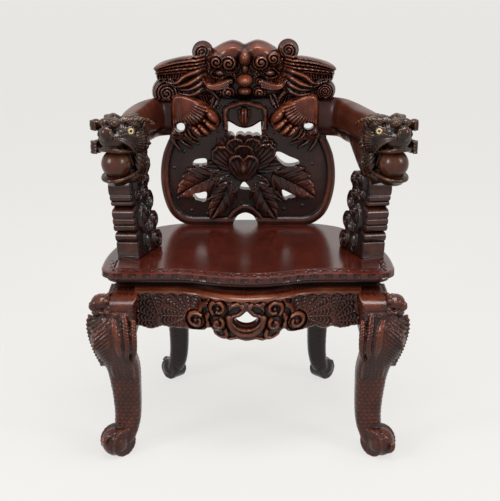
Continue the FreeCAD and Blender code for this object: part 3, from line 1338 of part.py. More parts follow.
def pegs():
    """Loose pegs, one node for each joint that they hold."""
    keep(compound("crest_peg_set", splat_dowels("crest_peg", 0)), "crest_dowels")
    for side, tag in ((LEFT, "left"), (RIGHT, "right")):
        arm_pegs = arm_dowels(f"arm_peg_{tag}", 0, side)
        keep(compound(f"arm_peg_set_{tag}", arm_pegs), f"arm_dowels_{tag}")
        keep(neck_dowel(f"neck_peg_{tag}", 0, side)[0], f"neck_dowel_{tag}")
        post_pegs = post_dowels(f"post_peg_{tag}", 0, side)
        keep(compound(f"post_peg_set_{tag}", post_pegs), f"support_dowels_{tag}")


def bored(label, holes):
    """Bores holes for screws in a finished sub-part."""
    node = next(n for n in NODES if n.Label == label)
    NODES.remove(node)
    node.Label = label + "_unbored"
    keep(cut(label + "_bored", node, holes), label)


def build():
    """Makes every sub-part."""
    seat_board()
    mouldings()
    front_apron()
    for side in (LEFT, RIGHT):
        side_apron(side)
    rear_apron()
    for side, tag in ((LEFT, "left"), (RIGHT, "right")):
        leg(f"leg_front_{tag}", side, True)
        leg(f"leg_rear_{tag}", side, False)
    front_holes, rear_holes = corner_blocks()
    bored("apron_front", front_holes)
    bored("apron_rear", rear_holes)
    back_splat()
    crest_rail()
    for side in (LEFT, RIGHT):
        mane(side)
        paw(side)
        arm(side)
        arm_support(side)
        dragon_head(side)
    pegs()
    doc.recompute()


def check():
    """Stops if any object failed or any sub-part is not a valid solid."""
    for thing in doc.Objects:
        if "Invalid" in thing.State or "Error" in thing.State:
            raise RuntimeError(f"{thing.Name} failed: {thing.State}")
    for node in NODES:
        shape = node.Shape
        if shape.isNull() or not shape.isValid() or not shape.Solids:
            raise RuntimeError(f"{node.Label} is not a valid solid")


build()
check()
os.makedirs("parts", exist_ok=True)
for node in NODES:
    node.Shape.exportStep(f"parts/{node.Label}.step")
print(len(NODES), "sub-parts written")
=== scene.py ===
"""Carved and varnished hardwood armchair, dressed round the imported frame.

Every builder below works in millimetres, in the chair's own frame, and scales to metres when a
piece is finished. Carving is relief on boards, swept timbers, and masses fused and then cut.
"""

import math

import bmesh
import bpy
import numpy as np
from mathutils import Euler, Matrix, Vector


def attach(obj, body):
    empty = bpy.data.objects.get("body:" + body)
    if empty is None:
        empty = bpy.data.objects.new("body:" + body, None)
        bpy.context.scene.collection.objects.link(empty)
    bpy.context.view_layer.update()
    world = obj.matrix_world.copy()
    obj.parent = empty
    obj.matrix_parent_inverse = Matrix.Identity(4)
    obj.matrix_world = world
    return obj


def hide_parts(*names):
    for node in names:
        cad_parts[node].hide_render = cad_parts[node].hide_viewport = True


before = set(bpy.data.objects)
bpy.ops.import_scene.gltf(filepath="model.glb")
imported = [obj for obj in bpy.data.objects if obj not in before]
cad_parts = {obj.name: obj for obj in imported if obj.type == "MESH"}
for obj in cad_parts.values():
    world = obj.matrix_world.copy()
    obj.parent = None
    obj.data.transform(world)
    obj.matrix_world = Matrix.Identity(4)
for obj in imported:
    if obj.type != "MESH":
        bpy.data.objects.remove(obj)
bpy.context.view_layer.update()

MM = 0.001
SIDES = {"left": -1, "right": 1}
SEAT_TOP = 440
SEAT_UNDER = 424
RAIL_FOOT = 396
SEAT_HALF = 346
SEAT_REAR = 277
FRONT_MOST = -284.1
# The middle of the back's carving, a little left of the chair's own middle, as in the photo.
AXIS = -8
NOWHERE = -99.0


# Number helpers.
def smooth(a, b, x):
    """0 below a, 1 above b, and a soft step between."""
    t = np.clip((x - a) / (b - a), 0, 1)
    return t * t * (3 - 2 * t)


def ripple(x, z, cell, seed=0):
    """Gentle uneven waves, about one wave to a cell, for handwork that is never quite even."""
    a = np.sin(x / cell * 5.1 + seed) + np.sin(z / cell * 4.3 + seed * 1.7)
    b = np.sin((x + z) / cell * 3.7 + seed * 2.3) + np.sin((x - 1.4 * z) / cell * 2.9 - seed)
    return (a + b) / 4


def round_line(points, per, closed=False):
    """A soft curve through points, as a dense polyline."""
    p = np.asarray(points, float)
    n = len(p)
    t = np.linspace(0, 1, per, endpoint=False)[:, None]
    out = []
    for i in range(n if closed else n - 1):
        if closed:
            a, b, c, d = p[i - 1], p[i], p[(i + 1) % n], p[(i + 2) % n]
        else:
            a, b, c, d = p[max(i - 1, 0)], p[i], p[i + 1], p[min(i + 2, n - 1)]
        out.append(0.5 * (2 * b + (c - a) * t + (2 * a - 5 * b + 4 * c - d) * t ** 2
                          + (3 * b - a - 3 * c + d) * t ** 3))
    if not closed:
        out.append(p[-1:])
    return np.concatenate(out)


def near(x, z, line, closed=False):
    """Distance to a polyline, and how far along it the nearest place is."""
    ends = np.concatenate([line[1:], line[:1]]) if closed else line[1:]
    starts = line if closed else line[:-1]
    best = np.full(x.shape, 1e9)
    along = np.zeros(x.shape)
    run = 0.0
    for (ax, az), (bx, bz) in zip(starts, ends):
        dx, dz = bx - ax, bz - az
        length = math.hypot(dx, dz) or 1e-9
        t = np.clip(((x - ax) * dx + (z - az) * dz) / length ** 2, 0, 1)
        d = np.hypot(x - ax - t * dx, z - az - t * dz)
        closer = d < best
        best = np.where(closer, d, best)
        along = np.where(closer, run + t * length, along)
        run += length
    return best, along / run


def ring_of(line):
    """A closed line with its first place again at its end, and how far along it each place lies."""
    ring = np.concatenate([line, line[:1]])
    return ring, np.concatenate([[0], np.cumsum(np.hypot(*np.diff(ring, axis=0).T))])


def inside(x, z, line):
    """Signed distance to a closed polyline: below zero inside it."""
    d, _ = near(x, z, line, True)
    odd = np.zeros(x.shape, bool)
    for (ax, az), (bx, bz) in zip(line, np.roll(line, -1, 0)):
        if az == bz:
            continue
        crosses = (az > z) != (bz > z)
        odd ^= crosses & (x < (bx - ax) * (z - az) / (bz - az) + ax)
    return np.where(odd, -d, d)


def edge_depth(distance):
    """How far a place lies inside an edge, from its signed distance."""
    return np.clip(-distance, 0, 99)


# Relief: each function takes flat coordinates and gives a height, which is NOWHERE off its form.
def ridge(d, half, high):
    """A ridge with a round back, at a distance from its line."""
    return high * np.sqrt(np.clip(1 - (d / half) ** 2, 0, 1))


def notch(d, wide):
    """1 on a line and soft to 0 beside it, for cuts and fine ridges."""
    return np.exp(-(d / wide) ** 2)


def dome(x, z, cx, cz, rx, rz, high, tilt=0, power=0.5):
    """A rounded boss."""
    a = math.radians(tilt)
    u = ((x - cx) * math.cos(a) + (z - cz) * math.sin(a)) / rx
    v = ((z - cz) * math.cos(a) - (x - cx) * math.sin(a)) / rz
    return high * np.clip(1 - u * u - v * v, 0, 1) ** power


def bead(x, z, points, wide, high, taper=0.0):
    """A rounded strand along a curve, thinner towards its end if tapered."""
    d, t = near(x, z, round_line(points, 8))
    return ridge(d, wide * (1 - taper * t), high * (1 - taper * t * 0.6))


def meld(a, b, soft):
    """The higher of two reliefs, run together over a soft width."""
    near_by = np.clip(soft - np.abs(a - b), 0, None)
    return np.maximum(a, b) + near_by * near_by / (4 * soft)


def whirl(x, z, cx, cz, radius, high, turns=2.0, way=1, start=0.0, groove=0.3):
    """A spiral curl: a boss with a spiral groove cut round to its eye."""
    r = np.hypot(x - cx, z - cz)
    angle = np.arctan2(z - cz, x - cx) * way + start
    pitch = radius / turns
    phase = (r / pitch - angle / (2 * np.pi)) % 1
    cut = notch(np.minimum(phase, 1 - phase), 0.17)
    body = np.clip(1 - (r / radius) ** 4, 0, 1) ** 0.5
    h = high * body * (0.84 + 0.16 * np.clip(1 - r / radius, 0, 1))
    return h - np.where(r < radius * 1.02, high * groove * cut * (r > pitch * 0.3), 0)


def laid_along(x, z, base, tip, wide):
    """Shares along and across a form that lies from its base to its tip, and its length."""
    bx, bz = base
    length = math.hypot(tip[0] - bx, tip[1] - bz)
    tx, tz = (tip[0] - bx) / length, (tip[1] - bz) / length
    return ((x - bx) * tx + (z - bz) * tz) / length, ((z - bz) * tx - (x - bx) * tz) / wide, length


def petal(x, z, base, tip, wide, low, high, ribs, dent, scallops, curl):
    """A cupped petal with ribs that fan out from its base and a scalloped, rolled edge."""
    u, v, length = laid_along(x, z, base, tip, wide)
    angle = np.arctan2(v, 2 * u - 1.0)
    r = (np.abs(v) ** 2.5 + np.abs(2 * u - 1.0) ** 2.5) ** 0.4
    edge = 1 - dent * np.abs(np.cos(angle * scallops / 2)) * smooth(0.2, 0.8, u)
    depth = (edge - r) * min(length / 2, wide)
    fan = v / np.maximum(0.35 + u, 0.2)
    rib = 0.5 + 0.5 * np.cos(fan * ribs * np.pi)
    h = low + (high - low) * smooth(0.0, 0.95, u) - curl * 0.5 * (1 - np.abs(v)) * smooth(0.3, 0.8, u)
    h = h + 1.3 * rib * smooth(0.05, 0.5, u) + curl * smooth(0.6, 0.95, r / edge) * u
    h = h - 4.0 * (1 - smooth(0, 3.0, depth))
    return np.where(depth > 0, h, NOWHERE)


def leaf(x, z, base, tip, wide, low, high, lobes=4, bend=0.0):
    """A leaf with a sunk midrib, slanting veins and saw-toothed lobes."""
    u, v, _ = laid_along(x, z, base, tip, wide)
    v = v + bend * np.sin(np.clip(u, 0, 1) * np.pi)
    slant = (u - np.abs(v) * 0.3) * lobes
    tooth = 0.7 + 0.3 * (slant % 1)
    half = np.clip(np.sin(np.pi * np.clip(u, 0, 1) ** 0.75), 0, 1) ** 0.7 * tooth
    depth = (half - np.abs(v)) * wide
    on = (u > 0) & (u < 1) & (depth > 0)
    puff = np.sin(np.pi * np.clip(np.abs(v) / np.maximum(half, 0.05), 0, 1)) ** 0.8
    h = low + (high - low) * (0.62 + 0.38 * puff) - 1.5 * (1 - np.abs(np.sin(np.pi * slant * 1.5))) ** 4
    h = h - 2.4 * notch(v * wide, 1.5) - 3.0 * (1 - smooth(0, 2.2, depth))
    return np.where(on, h, NOWHERE)


def over(h, *more):
    """The highest of several reliefs."""
    for other in more:
        h = np.maximum(h, other)
    return h


# Mesh helpers.
def column(items, key, wide=3, kind=float):
    """One value of each of a mesh's items as an array."""
    flat = np.empty(len(items) * wide, dtype=kind)
    items.foreach_get(key, flat)
    return flat.reshape(-1, wide)


def points_of(mesh):
    """A mesh's points as an array."""
    return column(mesh.vertices, "co")


def put_points(mesh, points):
    """Moves a mesh's points."""
    mesh.vertices.foreach_set("co", np.ascontiguousarray(points, float).ravel())
    mesh.update()


def edges_of(mesh):
    """A mesh's edges as pairs of point numbers."""
    return column(mesh.edges, "vertices", 2, np.int64)


def relax(values, edges, rounds):
    """Averages values with their neighbours' a number of times."""
    count = np.maximum(np.bincount(edges.ravel(), minlength=len(values)).astype(float), 1)
    shape = (-1,) + (1,) * (values.ndim - 1)
    for _ in range(rounds):
        total = np.zeros_like(values)
        np.add.at(total, edges[:, 0], values[edges[:, 1]])
        np.add.at(total, edges[:, 1], values[edges[:, 0]])
        values = 0.5 * values + 0.5 * total / count.reshape(shape)
    return values


def mark(mesh, name, values):
    """Stores a value at each of a mesh's points, for its material."""
    mesh.attributes.new(name, "FLOAT", "POINT").data.foreach_set("value", values.astype(np.float32))


def mark_wear_and_hollow_shade(mesh, reach):
    """Stores how far each place stands out, below zero in a hollow: painted shade in hollows, wear on edges.
    """
    p, n, e = points_of(mesh), column(mesh.vertices, "normal"), edges_of(mesh)
    long = np.linalg.norm(p[e[:, 0]] - p[e[:, 1]], axis=1)
    e = e[long < 4 * np.median(long)]
    fine = np.einsum("ij,ij->i", p - relax(p, e, reach), n)
    broad = np.einsum("ij,ij->i", p - relax(p, e, reach * 7), n)
    # Hollows below zero are painted dark as shade in the material; raised edges are paled as wear.
    wear_and_hollow_shade = np.clip(fine / 0.6, -1, 1) * 0.5 + np.clip(broad / 3.0, -1, 1) * 0.6
    mark(mesh, "wear_and_hollow_shade", relax(np.where(wear_and_hollow_shade > 0, 0.62 * wear_and_hollow_shade, wear_and_hollow_shade), e, 1))


def mark_rubbed(mesh, places):
    """Stores where hands have rubbed the stain warm: ovals as seen from in front, with a strength."""
    p = points_of(mesh)
    rubbed = np.zeros(len(p))
    for x, z, wide, tall, strength in places:
        share = np.hypot((p[:, 0] - x) / wide, (p[:, 2] - z) / tall)
        rubbed = np.maximum(rubbed, strength * smooth(1.15, 0.7, share))
    mark(mesh, "rubbed", rubbed)


def show(name, data):
    """A new object in the scene, at the origin."""
    thing = bpy.data.objects.new(name, data)
    bpy.context.scene.collection.objects.link(thing)
    return thing


def finish_piece(name, mesh, material, node, reach=6, sharp=None, rubbed=(), body="frame"):
    """Scales a mesh to metres, marks its wear and painted shade and sets it in a CAD node's stead in the
    frame.
    """
    mark_wear_and_hollow_shade(mesh, reach)
    mark_rubbed(mesh, rubbed)
    put_points(mesh, points_of(mesh) * MM)
    mesh.shade_smooth()
    if sharp:
        mesh.set_sharp_from_angle(angle=math.radians(sharp))
    mesh.materials.append(material)
    piece = show(name, mesh)
    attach(piece, body)
    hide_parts(node)


def opened(*meshes):
    """One bmesh with all of some meshes in it."""
    bm = bmesh.new()
    for mesh in meshes:
        bm.from_mesh(mesh)
    return bm


def mesh_of(bm):
    """Turns a bmesh into a mesh and frees it."""
    mesh = bpy.data.meshes.new("work")
    bm.to_mesh(mesh)
    bm.free()
    return mesh


def outward(bm):
    """Turns a closed bmesh's faces outwards and makes it a mesh."""
    bmesh.ops.recalc_face_normals(bm, faces=bm.faces[:])
    return mesh_of(bm)


def sheet(columns, rows):
    """A flat grid as a mesh, with the share across and up of each of its points."""
    bm = bmesh.new()
    bmesh.ops.create_grid(bm, x_segments=columns, y_segments=rows, size=1)
    mesh = mesh_of(bm)
    share = (points_of(mesh) + 1) / 2
    return mesh, share[:, 0], share[:, 1]


def solved(name, data, voxel=None):
    """The plain mesh of a curve, or of a mesh under a new skin of voxels."""
    thing = show(name, data)
    if voxel:
        skin = thing.modifiers.new("skin", "REMESH")
        skin.mode = "VOXEL"
        skin.voxel_size = voxel
    mesh = bpy.data.meshes.new_from_object(thing.evaluated_get(bpy.context.evaluated_depsgraph_get()))
    bpy.data.objects.remove(thing)
    return mesh


def board(box, step, shape, front, back, place=None):
    """A carved board. The shape gives a signed distance over the flat face, front and back give
    each face's offset from it, and place turns flat coordinates into the chair's."""
    x0, x1, z0, z1 = box
    mesh, x, z = sheet(max(2, round((x1 - x0) / step)), max(2, round((z1 - z0) / step)))
    x, z = x0 + x * (x1 - x0), z0 + z * (z1 - z0)
    put_points(mesh, np.stack([x, z, np.zeros_like(x)], 1))
    centres = column(mesh.polygons, "center")
    outside = shape(centres[:, 0], centres[:, 1]) > 0
    bm = opened(mesh)
    bm.faces.ensure_lookup_table()
    bmesh.ops.delete(bm, geom=[bm.faces[i] for i in np.flatnonzero(outside)], context="FACES")
    # Places where two faces meet only at a corner can't be given a thickness.
    pinched = [v for v in bm.verts if sum(e.is_boundary for e in v.link_edges) > 2]
    bmesh.ops.delete(bm, geom=pinched, context="VERTS")
    bm.verts.index_update()
    rim = [v.index for v in bm.verts if v.is_boundary]
    mesh = mesh_of(bm)
    p = points_of(mesh)
    x, z = p[rim, 0], p[rim, 1]
    for _ in range(3):
        f = shape(x, z)
        gx = (shape(x + 0.2, z) - shape(x - 0.2, z)) / 0.4
        gz = (shape(x, z + 0.2) - shape(x, z - 0.2)) / 0.4
        size = np.maximum(gx * gx + gz * gz, 0.25)
        x, z = x - np.clip(f * gx / size, -step, step), z - np.clip(f * gz / size, -step, step)
    p[rim, 0], p[rim, 1] = x, z
    put_points(mesh, p)
    bm = opened(mesh)
    bmesh.ops.solidify(bm, geom=bm.faces[:], thickness=1.0)
    mesh = outward(bm)
    x, z, level = points_of(mesh).T
    offset = np.where(np.abs(level) < 0.5, front(x, z), back(x, z))
    put_points(mesh, place(x, z, offset) if place else np.stack([x, offset, z], 1))
    return outward(opened(mesh))


def timber(stations, sides, rows, square):
    """A shaped timber through stations. Each has a centre, and two half widths with directions."""
    s = np.asarray(stations, float).reshape(len(stations), 9)
    fine = round_line(s, 12)
    at = np.linspace(0, len(fine) - 1, rows + 1)
    low = np.floor(at).astype(int).clip(0, len(fine) - 2)
    run = fine[low] + (fine[low + 1] - fine[low]) * (at - low)[:, None]
    mesh, length_share, turn_share = sheet(rows, sides)
    row = np.rint(length_share * rows).astype(int)
    turn = turn_share * 2 * math.pi
    c, d = np.cos(turn), np.sin(turn)
    u = np.sign(c) * np.abs(c) ** (2 / square)
    v = np.sign(d) * np.abs(d) ** (2 / square)
    put_points(mesh, run[row, 0:3] + u[:, None] * run[row, 3:6] + v[:, None] * run[row, 6:9])
    bm = opened(mesh)
    bmesh.ops.remove_doubles(bm, verts=bm.verts[:], dist=0.001)
    bmesh.ops.holes_fill(bm, edges=[e for e in bm.edges if e.is_boundary], sides=0)
    return outward(bm)


def turned(degrees):
    """A turn about the three axes."""
    return Euler([math.radians(a) for a in degrees]).to_matrix().to_4x4()


def lump(bm, centre, radii, turns=(0, 0, 0), fine=4):
    """Adds a rounded mass to a block."""
    grow = Matrix.Diagonal((*(radii if hasattr(radii, "__len__") else (radii,) * 3), 1))
    bmesh.ops.create_icosphere(bm, subdivisions=fine, radius=1,
                               matrix=Matrix.Translation(centre) @ turned(turns) @ grow)


def block(bm, centre, sizes):
    """Adds a square block."""
    bmesh.ops.create_cube(bm, size=1, matrix=Matrix.Translation(centre) @ Matrix.Diagonal((*sizes, 1)))


def roll(bm, start, end, radius):
    """Adds a round bar between two places."""
    a, b = Vector(start), Vector(end)
    where = Matrix.Translation((a + b) / 2) @ (b - a).to_track_quat("Z", "Y").to_matrix().to_4x4()
    bmesh.ops.create_cone(bm, cap_ends=True, segments=32, radius1=radius, radius2=radius,
                          depth=(b - a).length, matrix=where)


def strands(lines):
    """Round locks, each a list of places with the radius there, as one mesh."""
    curve = bpy.data.curves.new("locks", "CURVE")
    curve.dimensions = "3D"
    curve.bevel_depth = 1
    curve.bevel_resolution = 3
    curve.use_fill_caps = True
    for line in lines:
        fine_line = round_line(np.asarray(line, float), 5)
        spline = curve.splines.new("POLY")
        spline.points.add(len(fine_line) - 1)
        for point, (x, y, z, r) in zip(spline.points, fine_line):
            point.co = (x, y, z, 1)
            point.radius = max(r, 0.3)
    return solved("locks", curve)


def spiral(centre, across, up, radius, thick, turns, way, start, lift):
    """A line for strands that winds in to its eye in the plane of across and up."""
    c, a, b = Vector(centre), Vector(across).normalized(), Vector(up).normalized()
    n = a.cross(b) * (1 if way > 0 else -1)
    out = []
    steps = max(6, int(turns * 10))
    for i in range(steps + 1):
        t = i / steps
        angle = math.radians(start) + way * t * turns * 2 * math.pi
        r = (radius - thick) * (1 - t) ** 0.85
        place = c + a * (math.cos(angle) * r) + b * (math.sin(angle) * r) + n * (lift * t)
        out.append((*place, thick * (1 - 0.45 * t)))
    return out


def fuse(meshes, voxel):
    """Joins overlapping masses into one skin, as if cut from one block."""
    bm = opened(*meshes)
    bmesh.ops.triangulate(bm, faces=[f for f in bm.faces if len(f.verts) > 4])
    mesh = solved("block", mesh_of(bm), voxel)
    put_points(mesh, relax(points_of(mesh), edges_of(mesh), 2))
    return mesh


def cut_in(mesh, depth):
    """Carves a mesh: depth gives how far each place moves along its normal."""
    p, n = points_of(mesh), column(mesh.vertices, "normal")
    put_points(mesh, p + n * depth(p, n)[:, None])


def placed(mesh, matrix):
    """Moves a mesh into the chair's frame, and turns it the right way out if it is mirrored."""
    mesh.transform(matrix)
    if matrix.determinant() < 0:
        mesh.flip_normals()
    mesh.update()


# Materials.
def linear(code, gain=1.0):
    """An sRGB hex colour as linear light."""
    parts = [int(code[i:i + 2], 16) / 255 for i in (1, 3, 5)]
    return [gain * (c / 12.92 if c <= 0.04045 else ((c + 0.055) / 1.055) ** 2.4) for c in parts] + [1.0]


def wire(tree, node, values):
    """Sets a node's sockets, each to a value or to another node's output."""
    for key, value in values.items():
        if isinstance(value, bpy.types.NodeSocket):
            tree.links.new(value, node.inputs[key])
        else:
            node.inputs[key].default_value = value


def put(tree, kind, values, result="Value", colours=(), **settings):
    """Adds a node with its settings, sockets and colour stops, and gives one of its outputs."""
    made = tree.nodes.new(kind)
    for key, value in settings.items():
        setattr(made, key, value)
    wire(tree, made, values)
    if colours:
        band = made.color_ramp.elements
        for _ in colours[2:]:
            band.new(0.5)
        for element, (at, colour) in zip(band, colours):
            element.position = at
            element.color = linear(colour) if isinstance(colour, str) else (colour, colour, colour, 1)
    return made.outputs[result]


def blank(name):
    """A new material, its tree and its shader."""
    material = bpy.data.materials.new(name)
    material.use_nodes = True
    return material, material.node_tree, material.node_tree.nodes["Principled BSDF"]


def polished_rosewood(name, grain, shades, shine=(0.22, 0.46), coat=0.12, worn_and_shaded=True):
    """Rosewood, carved with chisels, stained and French polished, then handled for decades.

    The eye sees brown black hollows, where polish and dust settled and where shade is painted in, red
    brown wood between, and orange brown edges where hands rubbed the stain thin. Streaks follow the grain,
    about 4 mm apart, and open pores 0.3 mm wide are drawn 0.8 mm wide so that they show.
    """
    material, tree, shader = blank(name)
    place = put(tree, "ShaderNodeTexCoord", {}, "Object")
    along = {"X": (28, 250, 250), "Y": (250, 28, 250), "Z": (250, 250, 28)}[grain]
    laid = put(tree, "ShaderNodeMapping", {"Vector": place, "Scale": along}, "Vector")
    streaks = put(tree, "ShaderNodeTexNoise", {"Vector": laid, "Scale": 1.0, "Detail": 5.0, "Roughness": 0.62,
                                               "Distortion": 0.6}, "Fac")
    pores = put(tree, "ShaderNodeTexNoise", {"Vector": laid, "Scale": 5.0, "Detail": 2.0}, "Fac")
    cloud = put(tree, "ShaderNodeTexNoise", {"Vector": place, "Scale": 24.0, "Detail": 4.0,
                                             "Roughness": 0.6}, "Fac")
    base = 0.3
    # The marked wear and painted shade: hollows darker as shade, raised edges paler as wear.
    if worn_and_shaded:
        wear_and_hollow_shade = put(tree, "ShaderNodeAttribute", {}, "Fac", attribute_name="wear_and_hollow_shade")
        base = put(tree, "ShaderNodeMath", {0: wear_and_hollow_shade, 1: 0.5, 2: 0.25}, operation="MULTIPLY_ADD")
    level = put(tree, "ShaderNodeMath", {0: cloud, 1: 0.5, 2: base}, operation="MULTIPLY_ADD")
    tone = put(tree, "ShaderNodeValToRGB", {"Fac": level}, "Color", shades)
    if worn_and_shaded:
        warm = put(tree, "ShaderNodeValToRGB", {"Fac": level}, "Color", WARM)
        rubbed = put(tree, "ShaderNodeAttribute", {}, "Fac", attribute_name="rubbed")
        tone = put(tree, "ShaderNodeMix", {"Factor": rubbed, "A": tone, "B": warm}, "Result",
                   data_type="RGBA")
    streak = put(tree, "ShaderNodeValToRGB", {"Fac": streaks}, "Color",
                 [(0.32, 0.62), (0.5, 0.95), (0.68, 1.22)])
    colour = put(tree, "ShaderNodeMix", {"Factor": 0.75, "A": tone, "B": streak}, "Result",
                 data_type="RGBA", blend_type="MULTIPLY")
    rough = put(tree, "ShaderNodeMapRange", {"Value": level, "From Min": 0.15, "From Max": 0.6,
                                             "To Min": shine[1], "To Max": shine[0]}, "Result")
    dents = put(tree, "ShaderNodeMath", {0: pores, 1: 0.4, 2: cloud}, operation="MULTIPLY_ADD")
    bump = put(tree, "ShaderNodeBump", {"Height": dents, "Strength": 0.35, "Distance": 0.0006}, "Normal")
    wire(tree, shader, {"Base Color": colour, "Roughness": rough, "Normal": bump, "IOR": 1.5,
                        "Specular IOR Level": 0.3, "Coat Weight": coat, "Coat Roughness": 0.14})
    return material


# Shades of each wood, from its hollows, dark partly as painted shade, to its rubbed edges.
DARK = [(0.16, "#040202"), (0.34, "#120605"), (0.5, "#2a100b"), (0.68, "#421a10"), (0.95, "#6b4230")]
BALL = [(0.2, "#160805"), (0.42, "#38190e"), (0.6, "#552b18"), (0.9, "#75452a")]
ARM = [(0.2, "#0a0403"), (0.4, "#1e0a06"), (0.6, "#38150c"), (0.9, "#5c2b18")]
FUR = [(0.16, "#060302"), (0.34, "#160a06"), (0.5, "#29130b"), (0.68, "#452510"), (0.95, "#8a6436")]
BLACK = [(0.16, "#030202"), (0.34, "#0b0403"), (0.5, "#190805"), (0.68, "#2c100a"), (0.95, "#603020")]
LEG = [(0.16, "#0a0403"), (0.34, "#1f0a06"), (0.5, "#3f180e"), (0.68, "#5c2816"), (0.95, "#7f4a30")]
WARM = [(0.16, "#0d0403"), (0.34, "#2a0e07"), (0.5, "#4c1c0f"), (0.68, "#6b331e"), (0.95, "#8f5b42")]
SEAT = [(0.2, "#1f0a06"), (0.45, "#3d140c"), (0.7, "#571f12")]
PLAIN = [(0.2, "#3a2214"), (0.5, "#5f3d26"), (0.8, "#805a3c")]
# Panel, mask and mouldings: near black in the cuts, partly as painted shade, dark red brown on the forms, a
# soft gloss.
carved = polished_rosewood("rosewood, carved and French polished", "Z", DARK)
# Dragon heads: yellowed tips of hair on black brown, so that each lock shows.
fur_wood = polished_rosewood("rosewood, carved and worn pale on the hair", "Z", FUR)
# Arm supports and rear legs: nearly black, brown only on their sharpest edges.
black_wood = polished_rosewood("rosewood, carved and stained black", "Z", BLACK)
# Front legs and aprons: a warm brown that is palest on knees and scrolls.
leg_wood = polished_rosewood("rosewood, carved and rubbed brown", "Z", LEG)
# Paws, and wherever rubbed is marked: bright orange brown where hands rest.
warm_wood = polished_rosewood("rosewood, carved and rubbed bright", "Z", WARM)
# Arms: even dark brown with a satin sheen and hardly any coat left.
arm_wood = polished_rosewood("rosewood, shaped and rubbed smooth", "Y", ARM, (0.34, 0.5), 0.05)
# Balls: the palest wood, satin from rolling under fingers.
ball_wood = polished_rosewood("rosewood, turned and rubbed by hands", "Z", BALL, (0.26, 0.4), 0.12)
# Seat: an even deep red with the clearest reflections, as it was polished flat.
seat_wood = polished_rosewood("rosewood board, planed and French polished", "X", SEAT, (0.12, 0.28), 0.3)
# Hidden timbers and pegs: pale, dull and without a coat.
inner_wood = polished_rosewood("elm, sawn and planed, oiled", "X", PLAIN, (0.55, 0.7), 0.0, False)


def plain_finish(name, dark, light, rough, scale, metallic=0.0):
    """A turned or cut finish with a slight, fine cloud of tone: bone, horn and brass."""
    material, tree, shader = blank(name)
    place = put(tree, "ShaderNodeTexCoord", {}, "Object")
    cloud = put(tree, "ShaderNodeTexNoise", {"Vector": place, "Scale": scale, "Detail": 3.0}, "Fac")
    tone = put(tree, "ShaderNodeValToRGB", {"Fac": cloud}, "Color", [(0.35, dark), (0.65, light)])
    bump = put(tree, "ShaderNodeBump", {"Height": cloud, "Strength": 0.1, "Distance": 0.0003}, "Normal")
    wire(tree, shader, {"Base Color": tone, "Normal": bump, "Roughness": rough, "Metallic": metallic})
    return material


# Bone keeps a cream cloud, about 1 mm across, with faint brown where polish has crept in. Horn is near
# black and glossy. Brass screws are dull gold, brown in their slots, in clouds about 2 mm across.
bone = plain_finish("ox bone, turned and polished", "#b8a06a", "#efe2b8", 0.32, 900)
horn = plain_finish("black horn, turned and polished", "#0d0a08", "#1d1510", 0.18, 900)
brass = plain_finish("brass, turned screws dulled by age", "#6b4d1c", "#a98436", 0.42, 500, 1.0)


# The hidden timbers and hardware keep their CAD solids.
for node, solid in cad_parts.items():
    solid.data.materials.clear()
    hidden = any(word in node for word in ("batten", "corner", "dowel"))
    solid.data.materials.append(brass if "screws" in node else inner_wood if hidden else carved)


# The pierced panel: a plain rounded rim round a dark punched ground with a peony and its leaves.
PANEL_FACE = 226
BACK_FACE = 254
PANEL_SIDE = round_line([(-150, 440), (-177, 447), (-203, 468), (-219, 500), (-229, 545), (-230, 590),
                         (-224, 630), (-213, 660), (-205, 676)], 6)
PANEL_LINE = np.concatenate([PANEL_SIDE, PANEL_SIDE[::-1] * (-1, 1)])
PANEL_SIDES = np.concatenate([PANEL_SIDE[::-1] * (-1, 1), PANEL_SIDE])
TALONS = [[(188, 684), (184, 664), (168, 642)], [(172, 684), (163, 666), (140, 652)],
          [(154, 684), (146, 672), (122, 662)]]
PANEL_TOPS = [(-49, 674, 15), (-20, 676, 13), (2, 676, 12), (22, 673, 13), (49, 672, 16)]
PANEL_SLOTS = [
    [(-144, 603), (-141, 616), (-124, 621), (-110, 619), (-112, 604)],
    [(71, 632), (82, 639), (108, 627), (133, 616), (132, 606), (98, 604)],
    [(-146, 526), (-128, 531), (-110, 533), (-112, 509), (-124, 505), (-136, 509)],
    [(90, 539), (108, 532), (126, 521), (112, 515), (97, 512)],
    [(-10, 558), (-22, 540), (6, 538)],
]
ARCH_HOLE = [(-41, 438), (-37, 452), (-26, 466), (-7, 473), (12, 466), (23, 452), (27, 438)]
ARCH_RIM = [(-62, 444), (-50, 449), (-46, 462), (-30, 480), (-7, 489), (16, 480), (32, 462), (36, 449),
            (48, 444)]
PANEL_BOSSES = [(-194, 597), (-185, 513), (-107, 470), (-17, 499), (37, 491), (145, 494), (171, 607),
                (-150, 480), (96, 484), (-168, 640), (160, 648)]
# Rings of petals from the outermost in: low, high, ribs, dent, scallops and curl, then each petal's
# base, tip and half width.
PEONY = [
    ((3, 15, 4, 0.09, 9, 3), [((-38, 640), (-72, 688), 25), ((-26, 640), (-34, 697), 24),
                              ((0, 640), (4, 697), 24), ((16, 640), (44, 690), 25),
                              ((24, 626), (70, 668), 24)]),
    ((3, 14, 4, 0.12, 9, 4), [((-36, 592), (-116, 604), 20), ((-40, 582), (-104, 574), 17),
                              ((12, 594), (98, 612), 20), ((-26, 572), (-82, 546), 19),
                              ((-22, 566), (-50, 531), 16), ((2, 572), (58, 546), 19),
                              ((-2, 566), (26, 533), 16)]),
    ((7, 20, 5, 0.07, 9, 4), [((-22, 626), (-42, 678), 25), ((0, 626), (22, 678), 25),
                              ((-34, 594), (-90, 652), 28), ((8, 596), (68, 660), 28)]),
    ((8, 21, 5, 0.05, 9, 4), [((-12, 612), (-11, 662), 27)]),
    ((15, 25, 4, 0.03, 5, 4), [((-12, 564), (-38, 634), 23), ((-12, 564), (15, 634), 23)]),
]
